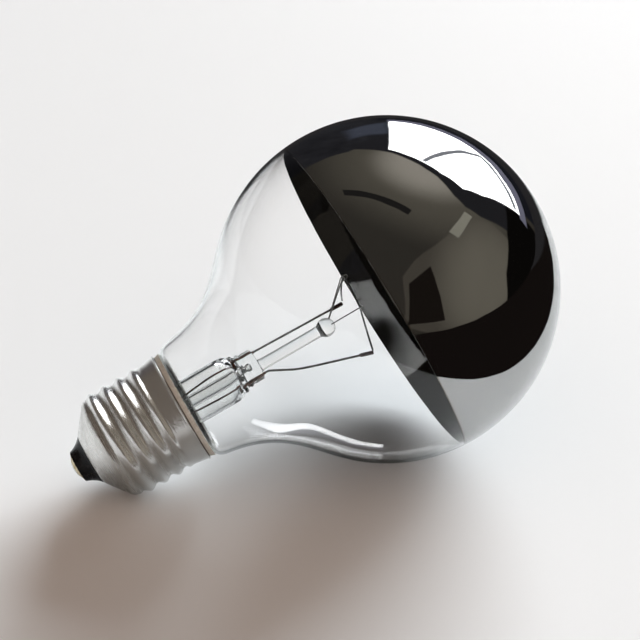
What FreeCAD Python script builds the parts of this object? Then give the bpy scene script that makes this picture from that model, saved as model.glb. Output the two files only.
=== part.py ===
import FreeCAD, Part
import os
from math import atan2, cos, degrees, pi, radians, sin, sqrt

import Sketcher
from FreeCAD import Placement, Rotation, Vector

# Half-mirror globe lamp with a screw cap, lying on its side.
# Every piece is drawn upright in the lamp's own frame: the axis is Z, and height
# 0 is the tip of the solder on the centre contact. One common placement at the
# end lays the lamp down on its globe and on the foot of its cap.

# Driving sizes, in millimetres and degrees. The lamp is built up like the real one,
# from the tip of its contact: insulator, shell, glass, stem, leads and filament, so
# most sizes are lengths and steps that start where the piece before them ends.
SIZES = {
    # common fits
    "fit_gap": 0.1,
    "fused_gap": 0.04,
    # contact and solder
    "contact_hole": 0.9,
    "contact_radius": 3.6,
    "contact_edge": 1.1,
    "contact_crown": 0.45,
    "contact_seat": 1.5,
    "contact_dome": 8.3,
    "solder_radius": 2.0,
    "solder_dome": 4.7,
    # insulator
    "insulator_foot": 1.2,
    "seat_wall": 0.1,
    "insulator_flank": 7.0,
    "insulator_collar": 0.5,
    "head_step": 1.4,
    "head_flare": 1.25,
    "head_length": 1.2,
    # screw cap shell
    "shell_wall": 0.3,
    "foot_radius": 6.3,
    "foot_height": 4.65,
    "cone_length": 4.05,
    "shoulder_radius": 11.6,
    "root_radius": 12.2,
    "root_rise": 0.8,
    "thread_depth": 0.9,
    "thread_pitch": 3.629,
    "crest_rise": 0.38,
    "thread_length": 14.8,
    "thread_runin": 2.0,
    "thread_runout": 1.6,
    "band_step": 0.55,
    "band_length": 3.4,
    "rim_step": 0.45,
    "lip_step": 0.22,
    "lip_length": 0.45,
    # cement ring, solder bead on the band
    "cement_step": 0.3,
    "weld_radius": 0.8,
    # blown glass globe and neck
    "globe_radius": 40.0,
    "globe_rise": 54.75,
    "glass_wall": 0.7,
    "throat_gap": 0.6,
    "throat_drop": 0.2,
    "throat_bend": 2.0,
    "shoulder_bend": 3.0,
    "neck_step": 3.0,
    "neck_taper_angle": 8.5,
    "neck_length": 2.4,
    "seal_depth": 13.4,
    # mirror coating inside the dome
    "coating_gap": 0.1,
    "coating_thickness": 0.1,
    "mirror_drop": 3.95,
    "mirror_lean_angle": 1.85,
    "mirror_turn_angle": -4.0,
    # stem: flare tube, press and exhaust tube
    "stem_angle": -55.4,
    "flare_radius": 5.5,
    "flare_wall": 0.8,
    "flare_bell": 4.5,
    "flare_length": 28.1,
    "bore_reach": 1.2,
    "pinch_length": 2.2,
    "press_length": 4.3,
    "press_skin": 0.25,
    "press_margin": 0.75,
    "press_edge": 0.4,
    "exhaust_radius": 1.5,
    "exhaust_wall": 0.6,
    "exhaust_tail": 2.8,
    "blow_hole_radius": 1.3,
    "blow_hole_rise": 1.7,
    # glass rod and its button
    "rod_radius": 1.35,
    "rod_length": 17.2,
    "rod_offset": 0.7,
    "button_radius": 2.2,
    # lead wires
    "lead_spacing": 2.9,
    "lead_radius": 0.27,
    "lead_rise": 0.9,
    "lead_height": 25.0,
    "near_lead_angle": -28.4,
    "near_lead_reach": 8.9,
    "near_lead_bow": 1.1,
    "far_lead_angle": 51.0,
    "far_lead_reach": 6.6,
    "far_lead_bow": 0.2,
    "clamp_length": 3.0,
    "clamp_gap": 0.1,
    "seal_wire_radius": 0.3,
    "seal_wire_proud": 0.3,
    "seal_wire_length": 7.7,
    # copper wires down to the cap
    "copper_radius": 0.22,
    "copper_clear": 2.3,
    "copper_swing_angle": 20.0,
    "side_wire_angle": 83.9,
    "side_wire_rise": 1.1,
    # filament and its three hooked supports
    "filament_radius": 0.22,
    "filament_sag": 0.9,
    "filament_bend": 0.4,
    "ring_radius": 9.5,
    "ring_offset": 1.5,
    "ring_angle": -35.4,
    "ring_rise": 9.3,
    "ring_drop": 1.1,
    "first_support_angle": -95.0,
    "second_support_angle": -155.0,
    "third_support_angle": 156.0,
    "support_radius": 0.14,
    "hook_radius": 0.5,
}

# Places that follow from the driving sizes. Radii are taken from the lamp's axis
# and heights from the tip of the centre contact.
PLACES = {
    "insulator_foot_radius": "contact_radius + fit_gap + seat_wall",
    "insulator_neck": "foot_radius - fit_gap",
    "insulator_head": "insulator_neck + head_step",
    "head_foot": "foot_height + insulator_collar + head_flare",
    "insulator_top": "head_foot + head_length",
    "shoulder_height": "foot_height + cone_length",
    "thread_start": "shoulder_height + root_rise",
    "first_crest": "thread_start + crest_rise",
    "thread_end": "thread_start + thread_length",
    "band_radius": "root_radius + band_step",
    "rim_radius": "band_radius + rim_step",
    "rim_height": "thread_end + band_length",
    "lip_radius": "rim_radius + lip_step",
    "lip_height": "rim_height + lip_length",
    "throat_radius": "root_radius - shell_wall - throat_gap",
    "throat_height": "rim_height - throat_drop",
    "seal_height": "throat_height - seal_depth",
    "neck_radius": "throat_radius + neck_step",
    "globe_height": "throat_height + globe_rise",
    "mirror_height": "globe_height - mirror_drop",
    "coating_radius": "globe_radius - glass_wall - coating_gap",
    "flare_top": "seal_height + flare_length",
    "flare_bore_top": "flare_top + bore_reach",
    "press_foot": "flare_top + pinch_length",
    "press_top": "press_foot + press_length",
    "press_half_width": "lead_spacing + seal_wire_radius + press_margin",
    "press_half_depth": "exhaust_radius + press_skin",
    "exhaust_bore": "exhaust_radius - exhaust_wall",
    "exhaust_tip": "seal_height - exhaust_tail",
    "blow_hole_height": "press_foot + blow_hole_rise",
    "button_height": "press_top + rod_length",
    "seal_wire_top": "press_top + seal_wire_proud",
    "seal_wire_foot": "seal_wire_top - seal_wire_length",
    "ring_height": "button_height + ring_rise",
}

doc = FreeCAD.newDocument("HalfMirrorLamp")
sheet = doc.addObject("Spreadsheet::Sheet", "sizes")
for row, (name, number) in enumerate(SIZES.items(), start=1):
    sheet.set(f"A{row}", name)
    sheet.set(f"B{row}", str(number))
    sheet.setAlias(f"B{row}", name)
doc.recompute()


# Sums of named sizes and places, such as "globe_radius - glass_wall"

def value(text):
    """Work out a sum of names."""
    total = 0.0
    sign = 1.0
    for word in text.split():
        if word in ("+", "-"):
            sign = 1.0 if word == "+" else -1.0
            continue
        if word in PLACES:
            number = value(PLACES[word])
        else:
            number = float(sheet.get(word) if word in SIZES else word)
        total += sign * number
        sign = 1.0
    return total


def bound(text):
    """The same sum as an expression on the sheet."""
    words = []
    for word in text.split():
        if word in PLACES:
            word = f"({bound(PLACES[word])})"
        elif word in SIZES:
            word = f"sizes.{word}"
        words.append(word)
    return " ".join(words)


def opposite(text):
    """The sum with every sign turned round."""
    words = text.split() if text.startswith("- ") else ["+"] + text.split()
    flipped = [{"+": "-", "-": "+"}.get(word, word) for word in words]
    return " ".join(flipped[1:] if flipped[0] == "+" else flipped)


# Sketches on a body's own origin planes

def new_sketch(body, name, role="XZ_Plane", height=None):
    """A sketch on one of the body's origin planes, lifted by a size if asked."""
    sketch = body.newObject("Sketcher::SketchObject", name)
    plane = next(item for item in body.Origin.OriginFeatures if item.Role == role)
    sketch.AttachmentSupport = [(plane, "")]
    sketch.MapMode = "FlatFace"
    if height:
        sketch.setExpression(".AttachmentOffset.Base.z", bound(height))
    return sketch


def constrain(sketch, kind, *terms, size=None):
    """Add a constraint, bound to a sum of sizes when it has a measure."""
    if size is None:
        return sketch.addConstraint(Sketcher.Constraint(kind, *terms))
    index = sketch.addConstraint(Sketcher.Constraint(kind, *terms, value(size)))
    sketch.setExpression(f"Constraints[{index}]", bound(size))
    return index


def pin(sketch, edge, end, across, along):
    """Fix an edge's end, or its centre, at a place given by two sums of sizes."""
    for kind, axis, size in (("DistanceX", -2, across), ("DistanceY", -1, along)):
        if size == "0":
            constrain(sketch, "PointOnObject", edge, end, axis)
        elif value(size) < 0:
            constrain(sketch, kind, edge, end, -1, 1, size=opposite(size))
        else:
            constrain(sketch, kind, -1, 1, edge, end, size=size)


def end_at(sketch, edge, spot):
    """Which end of an edge lies at a spot: 1 is its start and 2 its end."""
    near = [sketch.getPoint(edge, end).distanceToPoint(spot) for end in (1, 2)]
    return 1 if near[0] < near[1] else 2


def arc_between(start, end, radius, side):
    """The short arc between two spots, bulging left (1) or right (-1) of travel."""
    half = (end - start) * 0.5
    rise = radius - sqrt(max(radius ** 2 - half.Length ** 2, 0.0))
    left = Vector(-half.y, half.x, 0).normalize()
    return Part.Arc(start, start + half + left * (rise * side), end)


def profile(body, name, corners, role="XZ_Plane", height=None):
    """A closed sketch through corners given as sums of sizes.

    A corner is (across, along). With (across, along, radius, side) the edge that
    arrives at the corner is an arc of that radius, bulging to that side. A half
    circle has its centre on its chord, which stands upright.
    """
    sketch = new_sketch(body, name, role, height)
    spots = [Vector(value(corner[0]), value(corner[1]), 0) for corner in corners]
    for index, corner in enumerate(corners):
        start, end = spots[index - 1], spots[index]
        if len(corner) == 2:
            sketch.addGeometry(Part.LineSegment(start, end))
        else:
            sketch.addGeometry(arc_between(start, end, value(corner[2]), corner[3]))
    for index, corner in enumerate(corners):
        following = (index + 1) % len(corners)
        here = end_at(sketch, index, spots[index])
        there = end_at(sketch, following, spots[index])
        constrain(sketch, "Coincident", index, here, following, there)
        pin(sketch, index, here, corner[0], corner[1])
        if len(corner) == 4:
            chord = spots[index].distanceToPoint(spots[index - 1])
            if abs(chord - 2 * value(corner[2])) > 1e-6:
                constrain(sketch, "Radius", index, size=corner[2])
            elif corner[0] == "0":
                constrain(sketch, "PointOnObject", index, 3, -2)
            else:
                constrain(sketch, "Vertical", index, 3, index, here)
    return sketch


def circles(body, name, places, radius, role="XY_Plane", height=None):
    """A sketch with a circle of one radius at each place."""
    sketch = new_sketch(body, name, role, height)
    for across, along in places:
        centre = Vector(value(across), value(along), 0)
        edge = sketch.addGeometry(Part.Circle(centre, Vector(0, 0, 1), value(radius)))
        if (across, along) == ("0", "0"):
            constrain(sketch, "Coincident", edge, 3, -1, 1)
        else:
            pin(sketch, edge, 3, across, along)
        constrain(sketch, "Radius", edge, size=radius)
    return sketch


# Part Design features

def new_body(name):
    body = doc.addObject("PartDesign::Body", name)
    body.Label = name
    return body


def turned(body, sketch, kind="Revolution"):
    """Revolve a sketch about the lamp's axis: a Revolution adds and a Groove cuts."""
    feature = body.newObject(f"PartDesign::{kind}", f"{sketch.Name}_{kind.lower()}")
    feature.Profile = sketch
    feature.ReferenceAxis = (sketch, ["V_Axis"])
    feature.Angle = 360
    return feature


def padded(body, sketch, length, kind="Pad", flip=False):
    """Pad a sketch upwards or cut a Pocket downwards, or flip that direction."""
    feature = body.newObject(f"PartDesign::{kind}", f"{sketch.Name}_{kind.lower()}")
    feature.Profile = sketch
    feature.setExpression("Length", bound(length))
    feature.Reversed = flip
    return feature


def rounded(body, base, edges, radius):
    feature = body.newObject("PartDesign::Fillet", f"{base.Name}_fillet")
    feature.Base = (base, edges)
    feature.setExpression("Radius", bound(radius))
    return feature


def turned_body(name, corners):
    """A body that is one profile turned about the axis."""
    body = new_body(name)
    turned(body, profile(body, f"{name}_profile", corners))
    return body


# Wires: straight runs joined by tangent arcs, swept with a circle

BEND_SHARE = 0.45  # the share of a run that a bend may take at either end
LEAD_BELLY = 0.25  # how far up its run a lead bows out most


def polar(radius, turn, height):
    """A point in the lamp's frame from its radius, turn about Z and height."""
    return Vector(radius * cos(radians(turn)), radius * sin(radians(turn)), height)


def route(stops, tight=None):
    """A line through the stops, each inner corner rounded as its runs allow.

    Every second corner can be kept tight, its bend reaching no further than a
    length given.
    """
    edges = []
    here = stops[0]
    for index, (before, corner, after) in enumerate(zip(stops, stops[1:], stops[2:])):
        back = before - corner
        ahead = after - corner
        reach = BEND_SHARE * min(back.Length, ahead.Length)
        if tight and index % 2:
            reach = min(reach, tight)
        entry = corner + back.normalize() * reach
        leave = corner + ahead.normalize() * reach
        middle = (back + ahead).normalize()
        half_angle = back.getAngle(ahead) / 2
        radius = reach * sin(half_angle) / cos(half_angle)
        crown = corner + middle * (reach / cos(half_angle) - radius)
        edges.append(Part.LineSegment(here, entry).toShape())
        edges.append(Part.Arc(entry, crown, leave).toShape())
        here = leave
    edges.append(Part.LineSegment(here, stops[-1]).toShape())
    return Part.Wire(edges)


def swept_wire(stops, radius, tight=None):
    """A round wire along a route."""
    path = route(stops, tight)
    section = Part.Wire(Part.makeCircle(radius, stops[0], stops[1] - stops[0]))
    return path.makePipeShell([section], True, False)


def wire_feature(name, shape):
    feature = doc.addObject("Part::Feature", name)
    feature.Label = name
    feature.Shape = shape
    return feature


# Blown glass: throat, shoulder, neck and globe in one tangent line

def glass_line(sketch, inset):
    """The glass outline from the seal to the pole, moved inwards by an inset."""
    step = value(inset)
    taper = radians(value("neck_taper_angle"))
    wall = value("throat_radius") - step
    foot = Vector(wall, value("seal_height"), 0)
    throat = Vector(wall, value("throat_height"), 0)
    throat_centre = throat + Vector(value("throat_bend") + step, 0, 0)
    reach = value("throat_bend + shoulder_bend")
    across = throat_centre.x - value("neck_radius - shoulder_bend")
    lift = sqrt(reach ** 2 - across ** 2)
    neck_centre = throat_centre + Vector(-across, lift, 0)
    bend = throat_centre + (neck_centre - throat_centre) * ((value("throat_bend") + step) / reach)
    outward = Vector(cos(taper), -sin(taper), 0)
    upward = Vector(sin(taper), cos(taper), 0)
    neck = neck_centre + outward * (value("shoulder_bend") - step)
    neck_end = neck + upward * value("neck_length")
    globe_centre = Vector(0, value("globe_height"), 0)
    radius = value("globe_radius") - step
    gap = neck_end - globe_centre
    sweep = (gap.Length ** 2 - radius ** 2) / (2 * (radius - gap.dot(outward)))
    sweep_centre = neck_end + outward * sweep
    join = globe_centre + (sweep_centre - globe_centre).normalize() * radius
    pole = globe_centre + Vector(0, radius, 0)
    axis_foot = Vector(0, foot.y, 0)

    def arc(centre, start, end):
        size = start.distanceToPoint(centre)
        crown = centre + ((start + end) * 0.5 - centre).normalize() * size
        return Part.Arc(start, crown, end)

    middle = globe_centre + Vector(radius, 0, 0)
    runs = [
        (Part.LineSegment(foot, throat), throat),
        (arc(throat_centre, throat, bend), bend),
        (arc(neck_centre, bend, neck), neck),
        (Part.LineSegment(neck, neck_end), neck_end),
        (arc(sweep_centre, neck_end, join), join),
        (Part.Arc(join, middle, pole), pole),
        (Part.LineSegment(pole, axis_foot), axis_foot),
        (Part.LineSegment(axis_foot, foot), foot),
    ]
    for curve, _end in runs:
        sketch.addGeometry(curve)
    straight, throat_arc, shoulder, neck_line, sweep_arc, dome, axis_line, base = range(8)
    smooth = (straight, throat_arc, shoulder, neck_line, sweep_arc)
    for index, (_curve, end) in enumerate(runs):
        following = (index + 1) % len(runs)
        kind = "Tangent" if index in smooth else "Coincident"
        constrain(sketch, kind, index, end_at(sketch, index, end),
                  following, end_at(sketch, following, end))
    shift = "" if inset == "0" else f" - {inset}"
    spread = "" if inset == "0" else f" + {inset}"
    pin(sketch, straight, 1, f"throat_radius{shift}", "seal_height")
    constrain(sketch, "DistanceY", -1, 1, throat_arc, 3, size="throat_height")
    constrain(sketch, "Radius", throat_arc, size=f"throat_bend{spread}")
    constrain(sketch, "DistanceX", -1, 1, shoulder, 3, size="neck_radius - shoulder_bend")
    constrain(sketch, "Radius", shoulder, size=f"shoulder_bend{shift}")
    angle = sketch.addConstraint(
        Sketcher.Constraint("Angle", neck_line, radians(90 - value("neck_taper_angle"))))
    sketch.setExpression(f"Constraints[{angle}]", "(90 - sizes.neck_taper_angle) * 1 deg")
    constrain(sketch, "Distance", neck_line, size="neck_length")
    pin(sketch, dome, 3, "0", "globe_height")
    constrain(sketch, "Radius", dome, size=f"globe_radius{shift}")
    constrain(sketch, "PointOnObject", axis_line, 1, -2)
    constrain(sketch, "PointOnObject", axis_line, 2, -2)
    constrain(sketch, "Horizontal", base)


def glass_globe():
    body = new_body("glass_globe")
    outside = new_sketch(body, "glass_outside")
    glass_line(outside, "0")
    turned(body, outside)
    inside = new_sketch(body, "glass_inside")
    glass_line(inside, "glass_wall")
    turned(body, inside, "Groove")
    return body


def mirror_coating():
    """A thin cap lining the dome, cut by a plane that leans as the real edge does."""
    outer = doc.addObject("Part::Sphere", "coating_outside")
    outer.setExpression("Radius", bound("coating_radius"))
    inner = doc.addObject("Part::Sphere", "coating_inside")
    inner.setExpression("Radius", bound("coating_radius - coating_thickness"))
    for ball in (outer, inner):
        ball.setExpression(".Placement.Base.z", bound("globe_height"))
    lining = doc.addObject("Part::Cut", "coating_lining")
    lining.Base = outer
    lining.Tool = inner
    below = doc.addObject("Part::Cylinder", "coating_edge_cutter")
    below.setExpression("Radius", "2 * sizes.globe_radius")
    below.setExpression("Height", "2 * sizes.globe_radius")
    lean = Rotation(Vector(0, 0, 1), value("mirror_turn_angle")).multiply(
        Rotation(Vector(0, 1, 0), 180 + value("mirror_lean_angle")))
    below.Placement = Placement(Vector(0, 0, value("mirror_height")), lean)
    coating = doc.addObject("Part::Cut", "mirror_coating")
    coating.Base = lining
    coating.Tool = below
    coating.Label = "mirror_coating"
    return coating


# Stem: a belled flare tube pinched to a flat press, with its exhaust tube

def flare_stem():
    body = new_body("flare_stem")
    turned(body, profile(body, "flare_outside", [
        ("0", "seal_height - flare_wall"),
        ("throat_radius", "seal_height - flare_wall"),
        ("throat_radius", "seal_height"),
        ("flare_radius + flare_bell", "seal_height"),
        ("flare_radius", "seal_height + flare_bell", "flare_bell", 1),
        ("flare_radius", "flare_top"),
        ("0", "flare_top"),
    ]))
    rim = circles(body, "pinch_foot", [("0", "0")], "flare_radius", height="flare_top")
    flat = press_outline(body, "pinch_head", "press_foot")
    pinch = body.newObject("PartDesign::AdditiveLoft", "pinch")
    pinch.Profile = rim
    pinch.Sections = [flat]
    press = padded(body, press_outline(body, "press_section", "press_foot"),
                   "press_top - press_foot")
    doc.recompute()
    top_edges = [f"Edge{index}" for index, edge in enumerate(press.Shape.Edges, start=1)
                 if abs(edge.BoundBox.ZMin - value("press_top")) < 1e-3]
    rounded(body, press, top_edges, "press_edge")
    turned(body, profile(body, "flare_bore", [
        ("0", "seal_height - flare_wall"),
        ("flare_radius + flare_bell", "seal_height - flare_wall"),
        ("flare_radius - flare_wall", "seal_height + flare_bell",
         "flare_bell + flare_wall", 1),
        ("flare_radius - flare_wall", "flare_bore_top - flare_radius + flare_wall"),
        ("0", "flare_bore_top", "flare_radius - flare_wall", -1),
    ]), "Groove")
    padded(body, circles(body, "exhaust_seat", [("0", "0")], "exhaust_radius + fused_gap",
                         height="flare_top"),
           "blow_hole_height - flare_top", "Pocket", flip=True)
    padded(body, circles(body, "blow_hole", [("0", "blow_hole_height")], "blow_hole_radius",
                         role="XZ_Plane"), "press_half_width", "Pocket", flip=True)
    padded(body, circles(body, "seal_wire_seats",
                         [("lead_spacing", "0"), ("- lead_spacing", "0")],
                         "seal_wire_radius + fused_gap", height="seal_wire_foot"),
           "seal_wire_length", "Pocket", flip=True)
    return body


def press_outline(body, name, height):
    """The flat press seen from above: two long sides with round ends."""
    half = "press_half_width - press_half_depth"
    flip = "- press_half_width + press_half_depth"
    return profile(body, name, [
        (half, "- press_half_depth"),
        (half, "press_half_depth", "press_half_depth", -1),
        (flip, "press_half_depth"),
        (flip, "- press_half_depth", "press_half_depth", -1),
    ], role="XY_Plane", height=height)


def exhaust_tube():
    """The tube the lamp was pumped through: open in the press, sealed in the cap."""
    return turned_body("exhaust_tube", [
        ("0", "exhaust_tip"),
        ("exhaust_radius", "exhaust_tip + exhaust_radius", "exhaust_radius", -1),
        ("exhaust_radius", "blow_hole_height - blow_hole_radius"),
        ("exhaust_bore", "blow_hole_height - blow_hole_radius"),
        ("exhaust_bore", "exhaust_tip + exhaust_radius"),
        ("0", "exhaust_tip + exhaust_radius - exhaust_bore", "exhaust_bore", 1),
    ])


def glass_rod():
    """The rod on the press, with the melted button that carries the supports."""
    body = new_body("glass_rod")
    body.Placement.Base = polar(value("rod_offset"), value("ring_angle"), 0)
    padded(body, circles(body, "rod", [("0", "0")], "rod_radius", height="press_top"),
           "button_height - press_top")
    turned(body, profile(body, "button_half", [
        ("0", "button_height - button_radius"),
        ("0", "button_height + button_radius", "button_radius", -1),
    ]))
    return body


# Screw cap: a drawn shell with one rolled thread

THREAD_SECTIONS = 10  # round sections in each turn of the thread


def thread_growth(height):
    """How far the thread is rolled out at a height: 0 is plain and 1 is full."""
    run_in = (height - value("thread_start")) / value("thread_runin")
    run_out = (value("thread_end") - height) / value("thread_runout")
    grown = max(0.0, min(1.0, run_in, run_out))
    return grown * grown * (3 - 2 * grown)


def thread_circle(height, inset):
    """Radius and centre of the cap's round section at a height.

    A rolled thread is a circle carried along a small helix: its radius is the
    root plus half the depth, and its centre stands half the depth off the axis.
    """
    swing = thread_growth(height) * value("thread_depth") / 2
    run_out = (value("thread_end") - height) / value("thread_runout")
    widening = value("band_radius - root_radius") * (1 - min(1.0, run_out))
    turn = 360 * (height - value("first_crest")) / value("thread_pitch")
    return value("root_radius") + widening + swing - inset, polar(swing, turn, height)


def thread_solid(inset):
    """The threaded stretch as a solid loft through its round sections."""
    foot, head = value("thread_start"), value("thread_end")
    steps = round(THREAD_SECTIONS * (head - foot) / value("thread_pitch"))
    sections = []
    for step in range(steps + 1):
        radius, centre = thread_circle(foot + (head - foot) * step / steps, inset)
        sections.append(Part.Wire(Part.makeCircle(radius, centre)))
    return Part.makeLoft(sections, True, True)


def cap_shell():
    """Conical foot, rolled thread and plain band with its lip, in one thin wall."""
    foot = turned_body("cap_foot", [
        ("foot_radius", "foot_height"),
        ("shoulder_radius", "shoulder_height"),
        ("root_radius", "thread_start"),
        ("root_radius - shell_wall", "thread_start"),
        ("shoulder_radius - shell_wall", "shoulder_height + fit_gap"),
        ("foot_radius", "foot_height + shell_wall + fit_gap"),
    ])
    thread = doc.addObject("Part::Feature", "cap_thread")
    thread.Shape = thread_solid(0.0).cut(thread_solid(value("shell_wall")))
    band = turned_body("cap_band", [
        ("band_radius", "thread_end"),
        ("rim_radius", "rim_height"),
        ("lip_radius", "rim_height"),
        ("lip_radius", "lip_height"),
        ("lip_radius - shell_wall", "lip_height"),
        ("rim_radius - shell_wall", "rim_height"),
        ("band_radius - shell_wall", "thread_end"),
    ])
    shell = doc.addObject("Part::MultiFuse", "cap_shell")
    shell.Shapes = [foot, thread, band]
    shell.Refine = False
    shell.Label = "cap_shell"
    return shell


def cap_insulator():
    """Black glass moulded into the shell's foot, with a seat for the contact."""
    return turned_body("cap_insulator", [
        ("contact_hole", "contact_seat"),
        ("contact_radius + fit_gap", "contact_seat"),
        ("contact_radius + fit_gap", "insulator_foot"),
        ("insulator_foot_radius", "insulator_foot"),
        ("insulator_neck", "foot_height", "insulator_flank", 1),
        ("insulator_neck", "foot_height + insulator_collar"),
        ("insulator_head", "head_foot"),
        ("insulator_head", "insulator_top"),
        ("contact_hole", "insulator_top"),
    ])


def centre_contact():
    """A domed brass disc with a hole for the lead."""
    return turned_body("centre_contact", [
        ("contact_hole", "contact_crown"),
        ("contact_hole", "contact_seat"),
        ("contact_radius", "contact_seat"),
        ("contact_radius", "contact_edge"),
        ("solder_radius", "contact_crown", "contact_dome", -1),
    ])


def centre_solder():
    """Solder that fills the contact's hole round the lead and crowns it."""
    return turned_body("centre_solder", [
        ("0", "0"),
        ("solder_radius", "contact_crown", "solder_dome", -1),
        ("contact_hole - fit_gap", "contact_crown"),
        ("contact_hole - fit_gap", "contact_seat"),
        ("0", "contact_seat"),
    ])


def basing_cement():
    """The ring of cement between the glass throat and the band of the shell.

    It wells up past the lip and follows the bend of the glass. The side wire runs
    in a groove through it and leaves by a slot that opens outwards.
    """
    body = turned_body("cement_ring", [
        ("throat_radius + fused_gap", "thread_end + cement_step"),
        ("band_radius - shell_wall - fit_gap", "thread_end + cement_step"),
        ("rim_radius - shell_wall - fit_gap", "rim_height"),
        ("rim_radius - shell_wall - fit_gap", "lip_height"),
        ("throat_radius + throat_bend", "throat_height + throat_bend - fused_gap"),
        ("throat_radius + fused_gap", "throat_height", "throat_bend - fused_gap", -1),
    ])
    groove = doc.addObject("Part::Cylinder", "side_wire_groove")
    groove.setExpression("Radius", bound("copper_radius + fit_gap"))
    groove.setExpression("Height", bound("globe_height"))
    side = value("side_wire_angle")
    groove.Placement.Base = polar(side_wire_radius(), side, 0)
    slot = doc.addObject("Part::Box", "side_wire_slot")
    slot.setExpression("Length", bound("lip_radius"))
    slot.setExpression("Width", "2 * (sizes.copper_radius + sizes.fit_gap)")
    slot.setExpression("Height", bound("globe_height"))
    corner = polar(value("copper_radius + fit_gap"), side - 90, 0)
    slot.Placement = Placement(
        polar(side_wire_radius(), side, value("throat_height")) + corner,
        Rotation(Vector(0, 0, 1), side))
    channel = doc.addObject("Part::MultiFuse", "side_wire_channel")
    channel.Shapes = [groove, slot]
    ring = doc.addObject("Part::Cut", "basing_cement")
    ring.Base = body
    ring.Tool = channel
    ring.Label = "basing_cement"
    return ring


# Wires

def side_wire_radius():
    """The side wire runs midway between the throat and the roots of the thread."""
    return (value("throat_radius") + value("root_radius - shell_wall")) / 2


def lead_run(seat, lead):
    """A lead's foot on the press, the knee and belly above it and its far head."""
    turn = value(f"{lead}_lead_angle")
    foot = polar(value("lead_spacing"), seat, value("seal_wire_top"))
    knee = foot + Vector(0, 0, value("lead_rise"))
    head = foot + polar(value(f"{lead}_lead_reach"), turn, value("lead_height"))
    belly = knee + (head - knee) * LEAD_BELLY + polar(value(f"{lead}_lead_bow"), turn, 0)
    return foot, knee, belly, head


def inner_lead(name, run, fold_turn):
    """A lead from the press to the filament, its end folded back as a clamp."""
    foot, knee, belly, head = run
    back = (belly - head).normalize() * value("clamp_length")
    fold = polar(value("lead_radius + lead_radius + clamp_gap"), fold_turn, 0)
    stops = [foot, knee, belly, head, head + fold, head + fold + back]
    return wire_feature(name, swept_wire(stops, value("lead_radius")))


def lead_grip(run):
    """Where a lead's clamp grips the filament."""
    belly, head = run[2:]
    return head + (belly - head).normalize() * (value("clamp_length") / 2)


def ring_centre():
    return polar(value("ring_offset"), value("ring_angle"), value("ring_height"))


def ring_point(turn, height="ring_height"):
    """A point of the filament ring, at a turn about the ring's own centre."""
    point = ring_centre() + polar(value("ring_radius"), value("ring_angle + " + turn), 0)
    point.z = value(height)
    return point


def held_points():
    """Where the three supports hold the filament, from the near lead onwards."""
    return [
        ring_point("first_support_angle", "ring_height - ring_drop"),
        ring_point("second_support_angle"),
        ring_point("third_support_angle"),
    ]


def support(name, held):
    """A wire from the button that curls once round the filament."""
    upward = Vector(0, 0, 1)
    button = polar(value("rod_offset"), value("ring_angle"), value("button_height"))
    outward = Vector(held.x - button.x, held.y - button.y, 0).normalize()
    travel = (held - button).normalize()
    slope = degrees(atan2(travel.z, travel.dot(outward)))
    corner_radius = value("hook_radius") / cos(radians(HOOK_STEP / 2))
    curl = []
    for step in range(HOOK_CORNERS):
        turn = radians(slope - 90 + HOOK_STEP * (step + 0.5))
        curl.append(held + (outward * cos(turn) + upward * sin(turn)) * corner_radius)
    aim = (curl[0] - button).normalize()
    return wire_feature(name, swept_wire(
        [button + aim * value("button_radius"), *curl], value("support_radius")))


HOOK_STEP = 60  # degrees between the corners of a hook
HOOK_CORNERS = 5


def filament(near_run, far_run):
    """The coil as one round tube that sags outwards between each two holds."""
    near = lead_grip(near_run)
    far = lead_grip(far_run)
    held = held_points()
    stand_off = value("lead_radius + filament_radius + fit_gap")
    first = near + (held[0] - near).normalize() * stand_off
    last = far + (held[-1] - far).normalize() * stand_off
    holds = [first, *held, last]
    stops = [first]
    for start, end in zip(holds, holds[1:]):
        middle = (start + end) * 0.5
        outward = (middle - ring_centre()).normalize()
        sag = value("filament_sag") * (end - start).Length / value("ring_radius")
        stops += [middle + outward * sag, end]
    return wire_feature("filament", swept_wire(stops, value("filament_radius"),
                                               value("filament_bend")))


# Wires in the press and down to the cap

def seal_wire(name, across):
    """A short wire sealed in the press, between an inner lead and a copper one."""
    wire = doc.addObject("Part::Cylinder", name)
    wire.Label = name
    wire.setExpression("Radius", bound("seal_wire_radius"))
    wire.setExpression("Height", bound("seal_wire_length"))
    wire.Placement.Base = polar(value("lead_spacing"), value("stem_angle") + across,
                                value("seal_wire_foot"))
    return wire


def centre_wire():
    """From the near seal wire, past the exhaust tip, to the centre solder."""
    seat = value("stem_angle")
    clear = value("copper_clear")
    return wire_feature("centre_wire", swept_wire([
        polar(value("lead_spacing"), seat, value("seal_wire_foot")),
        polar(value("lead_spacing"), seat, value("flare_top - flare_radius")),
        polar(clear, seat + value("copper_swing_angle"), value("throat_height")),
        polar(clear, seat, value("exhaust_tip + exhaust_radius")),
        polar(0, seat, value("insulator_top + exhaust_radius")),
        polar(0, seat, value("contact_seat")),
    ], value("copper_radius")))


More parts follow.
